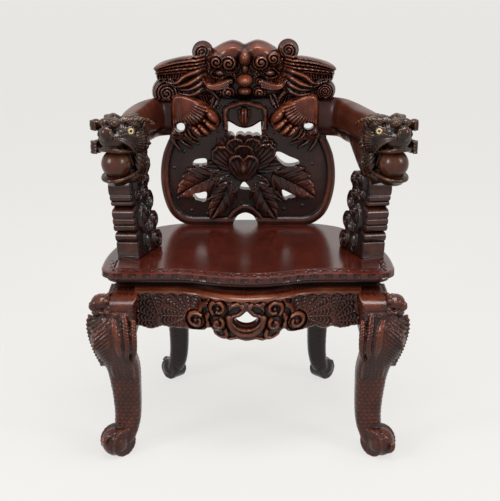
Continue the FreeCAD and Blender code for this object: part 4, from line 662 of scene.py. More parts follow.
# Leaves: base, tip, half width, low, high, lobes and bend. Those under the peony come in pairs.
PANEL_LEAVES = [((-84, 576), (-188, 522), 52, 4, 15, 4, 0.08), ((-92, 590), (-160, 588), 20, 4, 12, 2, -0.1),
                ((66, 582), (178, 520), 54, 4, 15, 4, -0.08), ((66, 596), (150, 592), 20, 4, 12, 2, 0.1)]
for way in SIDES.values():
    PANEL_LEAVES += [((-12 + way * 34, 556), (-12 + way * 88, 460), 36, 4, 15, 3, way * 0.05),
                     ((-12 + way * 36, 546), (-12 + way * 46, 488), 18, 4, 12, 2, 0),
                     ((-12 + way * 48, 548), (-12 + way * 112, 505), 17, 4, 12, 2, 0)]


def panel_shape(x, z):
    """The panel's outline with its tongued top, the slots sawn through it and the arch at its foot."""
    d = inside(x, z, PANEL_LINE)
    for cx, cz, r in PANEL_TOPS:
        d = np.minimum(d, np.hypot(x - cx, z - cz) - r)
    for slot in PANEL_SLOTS:
        d = np.maximum(d, -inside(x, z, round_line(slot, 4, True)))
    return np.maximum(d, -inside(x, z, round_line(ARCH_HOLE, 5)))


def panel_front(x, z):
    """Rim, arch, bosses and punched ground, with the talons, leaves and peony over them."""
    rim, _ = near(x, z, PANEL_SIDES)
    arch, _ = near(x, z, round_line(ARCH_RIM, 6))
    h = over(ridge(rim - 10.5, 11.5, 8.5), ridge(arch, 8.5, 7.5), 6 * smooth(16, 0, z - SEAT_TOP))
    for bx, bz in PANEL_BOSSES:
        h = over(h, dome(x, z, bx, bz, 3.4, 3.4, 2.6))
    h = h - (h < 0.6) * 0.5 * (0.5 + 0.5 * ripple(x * 3.1, z * 3.3, 18, 2))
    for way in SIDES.values():
        for talon in TALONS:
            h = over(h, bead(x, z, [(way * u + AXIS, v) for u, v in talon], 7.5, 15, 0.6))
    for form in PANEL_LEAVES:
        h = over(h, leaf(x, z, *form))
    for form, petals in PEONY:
        for base, tip, wide in petals:
            h = over(h, petal(x, z, base, tip, wide, *form))
    return PANEL_FACE - over(h, dome(x, z, -12, 598, 10, 20, 26, 0, 0.4))


def panel_back(x, z):
    """A plain back, eased at its sides."""
    rim, _ = near(x, z, PANEL_SIDES)
    return BACK_FACE - 4 * (1 - smooth(0, 9, rim)) + 0.4 * ripple(x, z, 90)


finish_piece("panel_pierced", board((-234, 234, 440, 700), 1.75, panel_shape, panel_front, panel_back),
             carved, "back_splat", sharp=50,
             rubbed=[(-146, 544, 44, 30, 0.85), (146, 544, 40, 26, 0.45), (-88, 490, 26, 34, 0.35),
                     (-10, 598, 22, 26, 0.7), (-226, 520, 24, 70, 0.55), (220, 520, 20, 90, 0.4),
                     (-60, 648, 26, 26, 0.4), (0, 452, 90, 22, 0.4)])


# The crest board: a lion mask over an arched mouth, with a tongue before a dark V-shaped plate.
CREST_FACE = 222
CREST_LINE = np.concatenate([
    [(-205, 676), (-205, 786)],
    round_line([(-150, 792), (-122, 800), (-112, 830), (-110, 862), (-103, 884), (-94, 903), (-82, 911),
                (-62, 922), (-40, 928), (-22, 924), (-9, 918), (6, 924), (24, 929), (46, 924), (66, 913),
                (78, 903), (87, 884), (94, 862), (96, 830), (106, 800), (134, 792)], 5),
    [(205, 786), (205, 676), (36, 676), (33, 720)],
    round_line([(22, 713), (10, 706), (AXIS, 702), (-26, 706), (-38, 713)], 4),
    [(-51, 720), (-53, 676)],
])
CREST_HOLES = [(-176, 705, 11, 13), (158, 709, 13, 11)]
MOUTH = [(-57, 704), (-59, 742), (-53, 757), (-33, 765), (AXIS - 1, 771), (16, 765), (38, 757), (45, 742),
         (44, 704)]


def crest_shape(x, z):
    """The crest board's outline, open under the mouth, with a hole beside each paw."""
    d = inside(x, z, CREST_LINE)
    for cx, cz, rx, rz in CREST_HOLES:
        d = np.maximum(d, (1 - np.hypot((x - cx) / rx, (z - cz) / rz)) * min(rx, rz))
    return d


def brow(x, z, way):
    """Two spiral curls and the rows of hair that sweep under them to the nose."""
    out, mid = AXIS + way * 72, AXIS + way * 41
    out_z, mid_z = (879, 875) if way < 0 else (887, 878)
    h = NOWHERE
    for k in range(4):
        drop = 5.0 * k
        row = [(mid + way * 22, mid_z - 12 - drop), (mid + way * 6, mid_z - 23 - drop * 0.9),
               (mid - way * 13, mid_z - 22 - drop * 0.7), (mid - way * 26, mid_z - 10 - drop * 0.8)]
        h = over(h, bead(x, z, row, 3.3, 43 - 3 * k, 0.2))
        wing = [(out + way * 22, out_z - 4 - drop * 1.3), (out + way * 10, out_z - 20 - drop),
                (out - way * 8, out_z - 24 - drop)]
        h = over(h, bead(x, z, wing, 3.2, 41 - 3 * k, 0.2))
    return over(h, whirl(x, z, out, out_z, 24, 52, 2.6, -way, 1.2),
                whirl(x, z, mid, mid_z, 26, 55, 2.6, -way, 0.6))


def muzzle(x, z, way):
    """Nostril swirl, moustache curl and upturned cheek flap of one side."""
    h = NOWHERE
    for k in range(3):
        flap = [(AXIS + way * 44, 828 - 6 * k), (AXIS + way * 70, 818 - 4 * k),
                (AXIS + way * 93, 818 - 2 * k), (AXIS + way * 116, 836)]
        h = over(h, bead(x, z, flap, 14 - 3 * k, 46 + k, 0.5))
    for k in range(3):
        row = [(AXIS + way * (24 + 2 * k), 842 + 5 * k), (AXIS + way * (40 + 3 * k), 846 + 3 * k),
               (AXIS + way * (56 + 3 * k), 836 + k), (AXIS + way * (62 + 4 * k), 822)]
        h = over(h, bead(x, z, row, 3.2, 43 - 2 * k, 0.2))
    out, radius = (44, 22) if way < 0 else (38, 20)
    return over(h, whirl(x, z, AXIS + way * 37, 828, 13, 47, 1.8, -way, 0.5),
                whirl(x, z, AXIS + way * out, 801, radius, 55, 2.6, way, 2.0))


def eye_of_mask(x, z, way):
    """A socket with an eyeball between lids, and hair rings at its outer side."""
    cx = AXIS + way * 63
    h = dome(x, z, cx, 851, 19, 12, 45, way * 6, 0.45)
    for k in range(5):
        arc = [(cx + way * (7 + (22 + 5 * k) * math.cos(a)), 850 + (15 + 5 * k) * math.sin(a))
               for a in np.radians(np.linspace(-75, 72, 6))]
        h = over(h, bead(x, z, arc, 3.0, 27 + 1.5 * k, 0.1))
    for corner, lid, high in ((849, 862, 39), (847, 838, 36)):
        line = [(cx - 24, corner), (cx - 10, lid), (cx + 10, lid), (cx + 24, corner)]
        h = over(h, bead(x, z, line, 3.4, high))
    return h


def mask(x, z):
    """The lion's face: skull and sockets, brows, nose and muzzle, then each side's curls."""
    h = dome(x, z, AXIS, 848, 108, 88, 24, 0, 0.42)
    for way in SIDES.values():
        h = h - dome(x, z, AXIS + way * 66, 851, 34, 19, 12)
    for cz, wide, tall, high in ((889, 20, 27, 55), (862, 12, 20, 42), (831, 24, 20, 62), (804, 22, 16, 46)):
        h = over(h, dome(x, z, AXIS, cz, wide, tall, high))
    for way in SIDES.values():
        h = over(h, dome(x, z, AXIS + way * 37, 900, 50, 32, 42, -way * 24),
                 eye_of_mask(x, z, way), muzzle(x, z, way), brow(x, z, way))
    return h


def crest_ground(x, z):
    """Below the mask: a punched ground with tusk-like leaves and bosses beside the mouth."""
    h = 1.6 * ripple(x * 2.2, z * 2.2, 26, 4)
    for way, spot in ((-1, 78), (1, 98)):
        u = way * (x - AXIS)
        h = over(h, bead(u, z, [(spot + 26, 812), (spot + 6, 800), (spot - 10, 782)], 11, 26, 0.5),
                 leaf(u, z, (66, 798), (88, 752), 14, 3, 12, 2), dome(u, z, 88, 776, 4.6, 4.6, 14),
                 dome(u, z, 70, 758, 4, 4, 8), dome(u, z, 150, 700, 5, 5, 6),
                 bead(u, z, [(190, 684), (186, 714), (168, 728), (150, 718)], 7, 8))
        for k in range(4):
            lock = [(96 + 6 * k, 800 - 3 * k), (92 + 6 * k, 784 - 4 * k), (82 + 6 * k, 770 - 4 * k)]
            h = over(h, bead(u, z, lock, 3.0, 9, 0.4))
    return h


def crest_front(x, z):
    """The mask over the mouth's toothed frame, the dark plate in the mouth and the tongue."""
    h = over(crest_ground(x, z), mask(x, z) * smooth(776, 798, z))
    gate = round_line(MOUTH, 8)
    d, t = near(x, z, gate)
    band = ridge(d, 7.2 + 1.2 * np.cos(t * 56), 21)
    inner = (inside(x, z, np.concatenate([gate, [(44, 690), (-57, 690)]])) < -4) & (d > 6)
    hollow = -9 + 3 * smooth(0, 26, np.abs(x - AXIS)) + 0.8 * np.cos((z + np.abs(x - AXIS) * 0.8) * 0.5)
    h = np.where(inner, hollow, h)
    h = over(h, band)
    u = x - AXIS + 2
    tongue = dome(u, z, 0, 735, 12, 28, 22)
    tongue = tongue - np.where(tongue > 0, 4.0 * notch(u, 1.8), 0)
    for way in SIDES.values():
        tongue = over(tongue, bead(u, z, [(way * 13, 748), (way * 11, 728), (way * 2, 710)], 4, 16, 0.3))
    h = over(h, np.where(tongue > 0, tongue - 7, NOWHERE))
    edge = edge_depth(crest_shape(x, z))
    mouth_edge = 3 * (1 - smooth(0, 5, edge)) * (z > 690) * (np.abs(x) < 190)
    return CREST_FACE - h + np.where(z > 800, 16 * (1 - smooth(0, 13, edge)), mouth_edge)


def crest_back(x, z):
    """A plain back, eased round the top."""
    edge = edge_depth(crest_shape(x, z))
    return BACK_FACE - 8 * (1 - smooth(0, 14, edge)) * (z > 690) + 0.5 * ripple(x, z, 80)


finish_piece("crest_mask", board((-210, 210, 672, 938), 1.6, crest_shape, crest_front, crest_back),
             carved, "crest_rail", sharp=60,
             rubbed=[(AXIS - 36, 906, 44, 22, 0.9), (AXIS + 36, 906, 44, 22, 0.9), (AXIS, 831, 26, 22, 0.9),
                     (AXIS, 804, 24, 16, 0.5), (AXIS - 80, 826, 34, 18, 0.8), (AXIS + 80, 826, 34, 18, 0.8),
                     (AXIS - 2, 735, 16, 30, 0.7), (AXIS, 889, 22, 28, 0.6)])


# The manes: hair that sweeps out to a beak over a toothed roll, flames below it, and two spirals.
MANE_BACK = 247
MANE_TUFT = [(98, 786), (98, 884), (120, 886), (139, 889), (160, 887), (192, 880), (216, 872), (234, 859),
             (230, 847), (227, 828), (214, 818), (200, 804), (190, 786)]
MANE_HAIR = [[(104, 892), (142, 887), (186, 879), (233, 860)],
             [(104, 883), (142, 879), (186, 872), (232, 858)],
             [(104, 874), (140, 870), (184, 864), (230, 855)],
             [(104, 866), (138, 861), (180, 857), (226, 851)]]
MANE_FLAMES = [[(98, 858), (124, 852), (154, 840), (178, 822), (208, 828)],
               [(98, 842), (122, 834), (146, 820), (176, 814), (196, 822)],
               [(98, 826), (120, 816), (144, 806), (172, 806)],
               [(98, 808), (120, 799), (142, 792), (166, 796)]]
MANE_CURLS = {"left": [(201, 796, 40), (108, 900, 27)], "right": [(206, 801, 29), (111, 905, 27)]}


def flame(u, z, line, wide, high):
    """A tapering lock with a sharp back and two fine grooves along it."""
    d, t = near(u, z, round_line(line, 6))
    w = wide * (1 - 0.72 * t) + 1.2
    share = np.clip(d / w, 0, 1)
    h = high * (1 - 0.35 * t) * (1 - share ** 1.6) ** 0.6 + 4 - 1.6 * notch(share - 0.5, 0.1)
    return np.where(d < w, h, NOWHERE)


def mane(side):
    """One side's tuft, thick at the mask and thin at its beak."""
    way = SIDES[side]
    low_curl, top_curl = MANE_CURLS[side]

    def shape(x, z):
        u = way * (x - AXIS)
        d = inside(u, z, round_line(MANE_TUFT, 3, True))
        for cx, cz, r in (low_curl, top_curl):
            d = np.minimum(d, np.hypot(u - cx, z - cz) - r)
        return d

    def front(x, z):
        u = way * (x - AXIS)
        h = 3 + 9 * smooth(240, 110, u)
        for k, line in enumerate(MANE_HAIR):
            h = over(h, bead(u, z, line, 5.2, 30 + 2 * (k % 2), 0.25))
        h = over(h, bead(u, z, [(150, 852), (190, 848), (229, 845)], 3.6, 24))
        h = over(h, bead(u, z, [(160, 833), (190, 833), (224, 832)], 3.0, 19))
        for k in range(10):
            tooth = [(160 + 7.2 * k, 849 - 0.4 * k), (162 + 7 * k, 841 - 0.3 * k), (165 + 6.6 * k, 833)]
            h = over(h, bead(u, z, tooth, 3.3, 21, 0.1))
        for k, line in enumerate(MANE_FLAMES):
            h = over(h, flame(u, z, line, 13, 32 - 2 * k))
        for k in range(3):
            tail = [(low_curl[0] - 6, 833 - 2 * k), (172 - 4 * k, 820 - 7 * k), (140, 802 - 7 * k),
                    (108, 795 - 6 * k)]
            h = over(h, bead(u, z, tail, 4.4, 21 - k, 0.2))
        h = over(h, whirl(u, z, *low_curl, 27, 5.0, 1, 1.0, 0.26),
                 whirl(u, z, *top_curl, 24, 3.6, -1, 0.4, 0.34),
                 whirl(u, z, 104, 828, 11, 38, 1.6, 1, 0, 0.4)) * (0.4 + 0.6 * smooth(98, 126, u))
        return CREST_FACE - h + 12 * (1 - smooth(0, 7, edge_depth(shape(x, z))))

    def back(x, z):
        r = np.hypot(way * (x - AXIS) - low_curl[0], z - low_curl[1])
        eased = 9 * (1 - smooth(0, 9, edge_depth(shape(x, z))))
        return MANE_BACK - eased + 0.8 * np.sin(r * 0.5) * (r < 34)

    box = (-262, AXIS - 76, 784, 934) if way < 0 else (AXIS + 78, 252, 784, 934)
    finish_piece("mane_of_" + side, board(box, 1.6, shape, front, back), carved, "mane_" + side, sharp=60,
                 rubbed=[(AXIS + way * 128, 836, 52, 26, 0.75), (AXIS + way * 120, 880, 40, 14, 0.5)])


for side in SIDES:
    mane(side)


# The paws: the smooth back of a hand, a fan of ridges towards the mask, stacked fingers and claws.
PAW_LINE = [(188, 676), (190, 700), (191, 745), (189, 782), (180, 793), (158, 794), (138, 787), (118, 778),
            (100, 769), (86, 760), (73, 750), (62, 734), (60, 718), (70, 703), (84, 692), (98, 683),
            (112, 677)]
FINGERS = [(85, 738, 25, 12, 41, 50), (90, 715, 24, 9.5, 39, 42), (106, 702, 21, 9, 36, 44),
           (123, 697, 19, 8.5, 32, 46)]
PAW_FACE = 216
PAW_BACK = 221


def paw(side):
    """One hand, with a claw and a pad on each finger."""
    way = SIDES[side]

    def shape(x, z):
        u = way * (x - AXIS)
        d = inside(u, z, round_line(PAW_LINE, 4, True))
        return np.maximum(d, 12.5 - np.hypot((u - 168) / 1.1, z - 707))

    def front(x, z):
        u = way * (x - AXIS)
        heel = ridge(u - 178, 20, 25) * smooth(668, 704, z)
        h = meld(dome(u, z, 144, 754, 64, 42, 29, 14, 0.36), heel, 12)
        angle = np.degrees(np.arctan2(796 - z, 190 - u))
        reach = np.hypot(796 - z, 190 - u)
        ridges = np.abs(np.sin(np.radians(angle * 34 + 0.9 * reach)))
        h = h + (h > 12) * (3.4 * ridges * smooth(58, 76, reach) - 9 * smooth(96, 118, reach))
        h = h + 0.7 * np.cos(angle * 1.1) * smooth(46, 20, reach)
        for cu, cz, long, tall, high, tilt in FINGERS:
            c, d = math.cos(math.radians(tilt)), math.sin(math.radians(tilt))
            h = over(h, dome(u, z, cu, cz, long, tall, high, tilt, 0.42),
                     dome(u, z, cu + c * (long - 5), cz + d * (long - 5), 7, 6, high - 1, 0, 0.6),
                     dome(u, z, cu - c * (long - 3), cz - d * (long - 3), 6, 3.6, high - 14, tilt, 0.6))
        for k in range(2):
            thumb = [(146 + 10 * k, 698 - 6 * k), (140 + 10 * k, 686 - 3 * k), (128 + 12 * k, 677)]
            h = over(h, bead(u, z, thumb, 5, 15 - 3 * k, 0.2))
        return PAW_FACE - h + 10 * (1 - smooth(0, 7, edge_depth(shape(x, z)))) * (z > 682)

    reach = sorted((AXIS + way * 56, AXIS + way * 192))
    mesh = board((*reach, 674, 798), 1.25, shape, front, lambda x, z: PAW_BACK + 0 * x)
    finish_piece("paw_of_" + side, mesh, warm_wood, "paw_" + side, sharp=60)


for side in SIDES:
    paw(side)


# The base: a serpentine front apron, bowed sides, and a plain back.
APRON_TOP = 398


def serpent(x, front, bulge, end):
    """The plan line of the serpentine front: how far forward it is at each place across."""
    half = end * 0.5826
    u = np.abs(x)
    sag = bulge * half / end
    r0 = (half * half + sag * sag) / (2 * sag)
    r1 = (end - half) / math.sin(2 * math.atan(bulge / end))
    crown = -front + r0 - np.sqrt(np.clip(r0 * r0 - np.minimum(u, half) ** 2, 1, None))
    ebb = -front + bulge - r1 + np.sqrt(np.clip(r1 * r1 - np.clip(end - u, 0, end - half) ** 2, 1, None))
    return np.where(u < half, crown, ebb)


APRON_LOW = [(-266, 304), (-251, 301), (-237, 296), (-223, 296), (-212, 300), (-201, 303), (-190, 299),
             (-178, 298), (-158, 297), (-140, 298), (-122, 300), (-105, 303), (-96, 307), (-89, 311),
             (-82, 305), (-76, 298), (-62, 291), (-47, 287), (-36, 289), (-24, 292), (-14, 289), (-2, 287),
             (10, 289), (20, 291), (31, 287), (44, 287), (58, 291), (71, 298), (78, 305), (84, 309),
             (91, 304), (101, 300), (118, 299), (136, 299), (152, 301), (160, 304), (168, 299), (184, 296),
             (197, 302), (208, 300), (221, 297), (234, 299), (249, 303), (266, 304)]
APRON_LINE = np.concatenate([round_line(APRON_LOW, 3), [(266, APRON_TOP), (-266, APRON_TOP)]])
CRESCENT = [(-31, 341), (-20, 345), (-11, 352), (-3, 359), (4, 353), (12, 346), (23, 342), (18, 332),
            (8, 326), (-4, 324), (-16, 326), (-26, 332)]


WEB_HEARTS = [(132, 330, 74), (204, 318, 62), (196, 372, 60), (262, 352, 70)]
# Strands between the scrolls: each line's half width and height, then its places.
CLOUD_STRANDS = [
    (8, 14, [(40, 380), (62, 392), (88, 382)]), (8, 14, [(8, 372), (16, 380), (34, 374), (44, 362)]),
    (8, 11, [(0, 380), (0, 362)]), (8, 13, [(92, 372), (106, 362), (110, 348)]),
    (9, 14, [(40, 344), (34, 320), (16, 306), (0, 304)]),
    (7, 12, [(50, 318), (46, 302), (58, 294), (74, 300)]),
    (7, 11, [(0, 294), (20, 296), (38, 292)]), (7, 13, [(88, 318), (94, 332), (88, 348)]),
    (7, 12, [(142, 322), (136, 304), (118, 300), (100, 306)]),
]


def apron_shape(x, z):
    """The front apron's lobed outline with the crescent sawn through it."""
    return np.maximum(inside(x, z, APRON_LINE), -inside(x, z, round_line(CRESCENT, 4, True)))


def webs(x, z):
    """Fans of webs: ribs that spread from a heart, with rows of scalloped arcs between them."""
    h = np.full(x.shape, 4.0)
    for cx, cz, size in reversed(WEB_HEARTS):
        r = np.hypot(x - cx, z - cz)
        angle = np.degrees(np.arctan2(z - cz, x - cx))
        share = (angle / 24) % 1
        rib = np.minimum(share, 1 - share) * np.radians(24) * r
        arc = 0.5 + 0.5 * np.cos(2 * np.pi * (r - 11 * (1 - (2 * share - 1) ** 2)) / 9.0)
        web = 4 + 0.03 * (size - r) + 3.0 * arc * smooth(1.0, 4.0, rib) + 3.2 * notch(rib, 2.0)
        scalloped = size * (0.86 + 0.14 * np.sqrt(np.clip(1 - (2 * share - 1) ** 2, 0, 1)))
        h = np.where(r < scalloped, web, h)
    return h


def scrolled(h, x, z, high, scrolls):
    """Cloud scrolls let into a relief: each a thick rim that winds in round a hollow with a boss in it."""
    for cx, cz, radius, way, start in scrolls:
        r = np.hypot(x - cx, z - cz)
        turn = ((np.arctan2(z - cz, x - cx) * way + start) / (2 * np.pi)) % 1
        scroll = over(np.where(r < radius - 3, 7.0, NOWHERE), ridge(r - radius + 5.5 + 9.5 * turn, 5.8, high),
                      dome(x, z, cx, cz, 7.0, 7.0, high - 2))
        h = np.where(r < radius + 1.5, scroll, h)
    return h


def saw_edge(s):
    """The height of the saw border's lower edge, with a tooth every 30 mm."""
    return 379 + 7.0 * np.abs(((s / 30) % 1) * 2 - 1) ** 0.8


def shoulder(z, reach):
    """How far the top edge of an apron falls back as it rounds over."""
    level = 386
    return reach - ridge(np.clip(z - level, 0, 98), APRON_TOP - level, reach)


def apron_front_relief(x, z):
    """Webs, the middle's clouds, the crescent's rim and the saw border."""
    u = np.abs(x + 4)
    h = np.where((u < 104) & (z < 386), 2.0, webs(u, z))
    for wide, high, line in CLOUD_STRANDS:
        h = over(h, bead(u, z, line, wide, high, 0.15))
    h = scrolled(h, u, z, 17, [(66, 366, 24, 1, 1.0), (119, 326, 24, -1, 2.4), (66, 329, 19, 1, 4.4)])
    rim, _ = near(x, z, round_line(CRESCENT, 4, True), True)
    h = np.where(rim < 5.5, -3, over(h, ridge(rim - 9, 5.5, 12)))
    saw = saw_edge(x)
    h = np.where(z > saw - 0.5, np.maximum(10.5 * smooth(0, 2.5, z - saw), h * (z < saw + 1)), h)
    return h - 6 * (1 - smooth(0, 5, edge_depth(inside(x, z, APRON_LINE)) + 99 * (z > 380)))


finish_piece("apron_serpentine",
             board((-266, 266, 283, APRON_TOP), 1.7, apron_shape,
                   lambda x, z: 6 - apron_front_relief(x, z) + shoulder(z, 22),
                   lambda x, z: 30 + 22 * smooth(376, 392, z),
                   lambda x, z, offset: np.stack([x, serpent(x, 234, 60, 180) + offset, z], 1)),
             leg_wood, "apron_front", sharp=60,
             rubbed=[(-160, 330, 70, 40, 0.8), (150, 330, 80, 40, 0.8), (-4, 296, 90, 16, 0.8),
                     (-4, 396, 240, 12, 0.7), (-4, 366, 24, 20, 0.6)])


def side_apron(side):
    """A bowed side apron with the same border and webs, and scrolls in its middle."""
    way = SIDES[side]
    plan = round_line([(323, -150), (318, -120), (290, 20), (221, 160), (205, 190)], 10)
    steps = np.concatenate([[0], np.cumsum(np.hypot(*np.diff(plan, axis=0).T))])
    low = np.concatenate([round_line([(0, 300), (24, 298), (48, 304), (72, 297), (96, 299), (120, 309),
                                      (140, 298), (168, 292), (196, 298), (216, 309), (240, 299),
                                      (266, 297), (290, 304), (314, 298), (338, 300), (356, 302)], 3),
                          [(356, 397), (0, 397)]])

    def front(s, z):
        mid = np.abs(s - 168)
        h = scrolled(np.where(mid < 46, 2, webs(mid + 62, z)), mid, z, 14,
                     [(24, 362, 20, 1, 1), (54, 328, 20, -1, 1), (20, 322, 18, 1, 1)])
        return 6 - np.where(z > saw_edge(s), 9.5, h) + shoulder(z, 20)

    def place(s, z, offset):
        at_x, at_y = np.interp(s, steps, plan[:, 0]), np.interp(s, steps, plan[:, 1])
        ahead_x, ahead_y = np.interp(s + 1, steps, plan[:, 0]), np.interp(s + 1, steps, plan[:, 1])
        dx, dy = ahead_x - at_x, ahead_y - at_y
        size = np.hypot(dx, dy)
        size[size == 0] = 1
        return np.stack([way * (at_x + dy / size * -offset), at_y + dx / size * offset, z], 1)

    mesh = board((26, steps[-1] - 26, 283, 397), 2.2, lambda s, z: inside(s, z, low), front,
                 lambda s, z: 27 + 16 * smooth(376, 392, z), place)
    finish_piece("apron_of_" + side, mesh, leg_wood, "apron_" + side, sharp=60)


for side in SIDES:
    side_apron(side)


# The legs: knee, ankle and outward scroll, cut from one timber.
# Its stations: shares of the height, of the swing outwards and of the way from ankle to knee in size.
LEG_STATIONS = [(1.0, .3, .4), (.88, .65, .7), (.78, 1, 1), (.68, .86, .82), (.555, .32, .5), (.43, .14, .3),
                (.28, .06, .14), (.18, .16, .06), (.1, .5, -.05), (.04, .95, -.5)]
# The masses of a front knee and foot, for the right leg: centre, half sizes, and turns about Y and Z.
KNEE_MASSES = [((313, -214, 372), (30, 30, 28), 0, 0), ((336, -238, 388), (24, 24, 19), 0, 30),
               ((352, -247, 380), (13, 14, 11), 0, 0), ((355, -250, 386), (9, 9, 7), 0, 0),
               ((341, -236, 366), (20, 18, 9), 14, 0), ((344, -231, 358), (15, 14, 6), 16, 0),
               ((344, -226, 312), (23, 30, 42), -8, 0), ((351, -222, 330), (17, 24, 22), -14, 0),
               ((333, -224, 268), (20, 26, 44), 16, 0), ((318, -238, 34), (31, 31, 34.5), 0, 0)]
FORELOCKS = [(337, -259, 394, 5), (323, -257, 396, 6), (329, -244, 404, 7), (315, -240, 404, 8),
             (344, -246, 400, 5)]
KNEE_SKIN = [(190, -241), (202, -243), (220, -247), (245, -256), (269, -267), (292, -275), (309, -277),
             (325, -272), (348, -262), (372, -252)]


def shaft(way, forward, x, y, knee, ankle, kick, foot_kick, deep=1.0):
    """The swept timber of a leg."""
    stations = []
    for level, out, size in LEG_STATIONS:
        reach = out * (foot_kick if level < 0.28 else kick)
        half = ankle + size * (knee - ankle)
        stations.append([(way * (x + reach), forward * (y + reach), level * RAIL_FOOT),
                         (way * half, 0, 0), (0, forward * half * deep, 0)])
    return timber(stations, 36, 60, 3.0)


def on_knee(way, line):
    """A lock laid on the front of the knee: places across and up with a radius, sunk by a third."""
    levels, skin = zip(*KNEE_SKIN)
    return [(way * x, np.interp(z, levels, skin) + 0.35 * r, z, r) for x, z, r in line]


def knee_locks(way):
    """Brow and wing curls, feathers, thigh ribs, whiskers and lips of a front knee, and its foot's scroll."""
    locks = [spiral((way * 314, -257, 366), (1, 0.1 * way, 0), (0, 0, 1), 20, 4.6, 2.3, way, 200, 4),
             spiral((way * 330, -270, 300), (1, 0.35 * way, 0), (0, 0, 1), 23, 4.8, 2.2, -way, 60, 3),
             [(way * 364, -222, 350, 7), (way * 369, -226, 330, 6.5), (way * 366, -230, 300, 6),
              (way * 356, -232, 264, 5), (way * 342, -230, 226, 3)]]
    for k in range(6):
        z = 338 - 18 * k
        locks.append([(way * (350 - 4 * k), -246 + k, z - 4, 5.5), (way * (362 - 4 * k), -238, z - 14, 5),
                      (way * (368 - 6 * k), -226, z - 22, 3.2)])
    on_skin = [[(310, 352, 6), (304, 330, 9.5), (298, 296, 9.5), (293, 262, 6)],
               [(284, 360, 8), (279, 324, 8.5), (276, 288, 8), (280, 250, 4.5)],
               [(262, 350, 6), (260, 316, 7), (260, 282, 6), (266, 246, 3.5)]]
    on_skin += [[(297 + 4 * k, 262, 4.5), (297 + 8 * k, 236, 6), (294 + 9 * k, 204 - 5 * (k % 2), 3)]
                for k in range(-3, 3)]
    on_skin += [[(306 + 9 * k, 338 - 2 * k, 3.6), (316 + 8 * k, 330 - 5 * k, 4.6),
                 (322 + 8 * k, 316 - 9 * k, 3)] for k in range(5)]
    locks += [on_knee(way, line) for line in on_skin]
    for x, y, z in ((346, -258, 371), (334, -262, 369), (322, -262, 368)):
        locks.append([(way * (x + 12), y + 10, z + 3, 3), (way * x, y, z, 3.4),
                      (way * (x - 9), y + 2, z + 4, 2.6)])
    locks.append(spiral((way * 326, -254, 37), (way, -1, 0), (0, 0, 1), 30, 7, 1.4, -way, 20, 0))
    return locks


def front_leg(side):
    """A front leg: a lion's head over a feathered wing, a scaled shin and a scrolled foot."""
    way = SIDES[side]
    bm = bmesh.new()
    block(bm, (way * 295, -171, 340), (64, 104, 104))
    for (x, y, z), sizes, about_y, about_z in KNEE_MASSES:
        lump(bm, (way * x, y, z), sizes, (0, way * about_y, way * about_z))
    for x, y, z, r in FORELOCKS:
        lump(bm, (way * x, y, z), r, fine=3)
    roll(bm, (way * 311 + 19, -230 + way * 19, 34), (way * 311 - 19, -230 - way * 19, 34), 34)
    mesh = fuse([shaft(way, -1, 285, 206, 50, 29, 28, 26, 0.86), mesh_of(bm), strands(knee_locks(way))], 1.9)

    def carve(p, n):
        x, y, z = way * p[:, 0], p[:, 1], p[:, 2]
        front = smooth(0.15, 0.6, -n[:, 1])
        outer = smooth(0.15, 0.6, way * n[:, 0])
        face = np.maximum(front, outer)
        u = np.where(front > outer, x, y + 500)
        row = z / 10.0
        cell = ((u + (np.floor(row) % 2) * 6) / 12.0) % 1
        scales = 0.7 * np.cos(np.clip(np.hypot(cell - 0.5, row % 1 - 0.1), 0, 1) * np.pi * 1.6)
        h = scales * smooth(215, 190, z) * smooth(52, 80, z) * face
        ribs = 1.3 * np.cos((z * 0.9 + x * 0.75) * 2 * np.pi / 9.0)
        h += ribs * smooth(312, 326, x) * smooth(225, 250, z) * smooth(352, 340, z) * face
        fine = 0.8 * np.cos((z - 0.4 * x) * 2 * np.pi / 6.5)
        h += fine * smooth(236, 250, z) * smooth(352, 340, z) * smooth(290, 280, x) * front
        return h + 0.5 * ripple(p[:, 0] * 2, z * 2, 14)

    cut_in(mesh, carve)
    x, y, z = points_of(mesh).T
    y, z = np.maximum(y, FRONT_MOST), np.maximum(z, 0)
    under_seat = np.abs(x) < 318
    z = np.where(under_seat, np.minimum(z, RAIL_FOOT), z)
    rounded = -208 - ridge(np.clip(z - 366, 0, 30), 30, 44)
    y = np.where(under_seat & (z > 366), np.maximum(y, rounded), y)
    put_points(mesh, np.stack([x, y, z], 1))
    finish_piece("leg_front_of_" + side, mesh, leg_wood, "leg_front_" + side, reach=5,
                 rubbed=[(way * 302, 308, 16, 48, 1), (way * 338, 350, 30, 10, 0.7),
                         (way * 290, 130, 30, 70, 0.7), (way * 290, 372, 20, 18, 0.6),
                         (way * 320, 40, 40, 40, 0.5)])


def rear_leg(side):
    """A rear leg: a plain knee and a scrolled foot."""
    way = SIDES[side]
    bm = bmesh.new()
    block(bm, (way * 196, 191, 350), (62, 62, 92))
    roll(bm, (way * 207 + 15, 217 - way * 15, 29), (way * 207 - 15, 217 + way * 15, 29), 29)
    lump(bm, (way * 211, 221, 30), (27, 27, 29))
    scroll = spiral((way * 222, 232, 31), (way, 1, 0), (0, 0, 1), 26, 6, 1.4, -way, 20, 0)
    mesh = fuse([shaft(way, 1, 188, 198, 36, 24, 10, 22), mesh_of(bm), strands([scroll])], 2.1)
    cut_in(mesh, lambda p, n: 0.35 * ripple(p[:, 0] * 2, p[:, 2] * 2, 20))
    p = points_of(mesh)
    p[:, 2] = np.clip(p[:, 2], 0, RAIL_FOOT)
    put_points(mesh, p)
    finish_piece("leg_rear_of_" + side, mesh, black_wood, "leg_rear_" + side, reach=5)


for side in SIDES:
    front_leg(side)
    rear_leg(side)


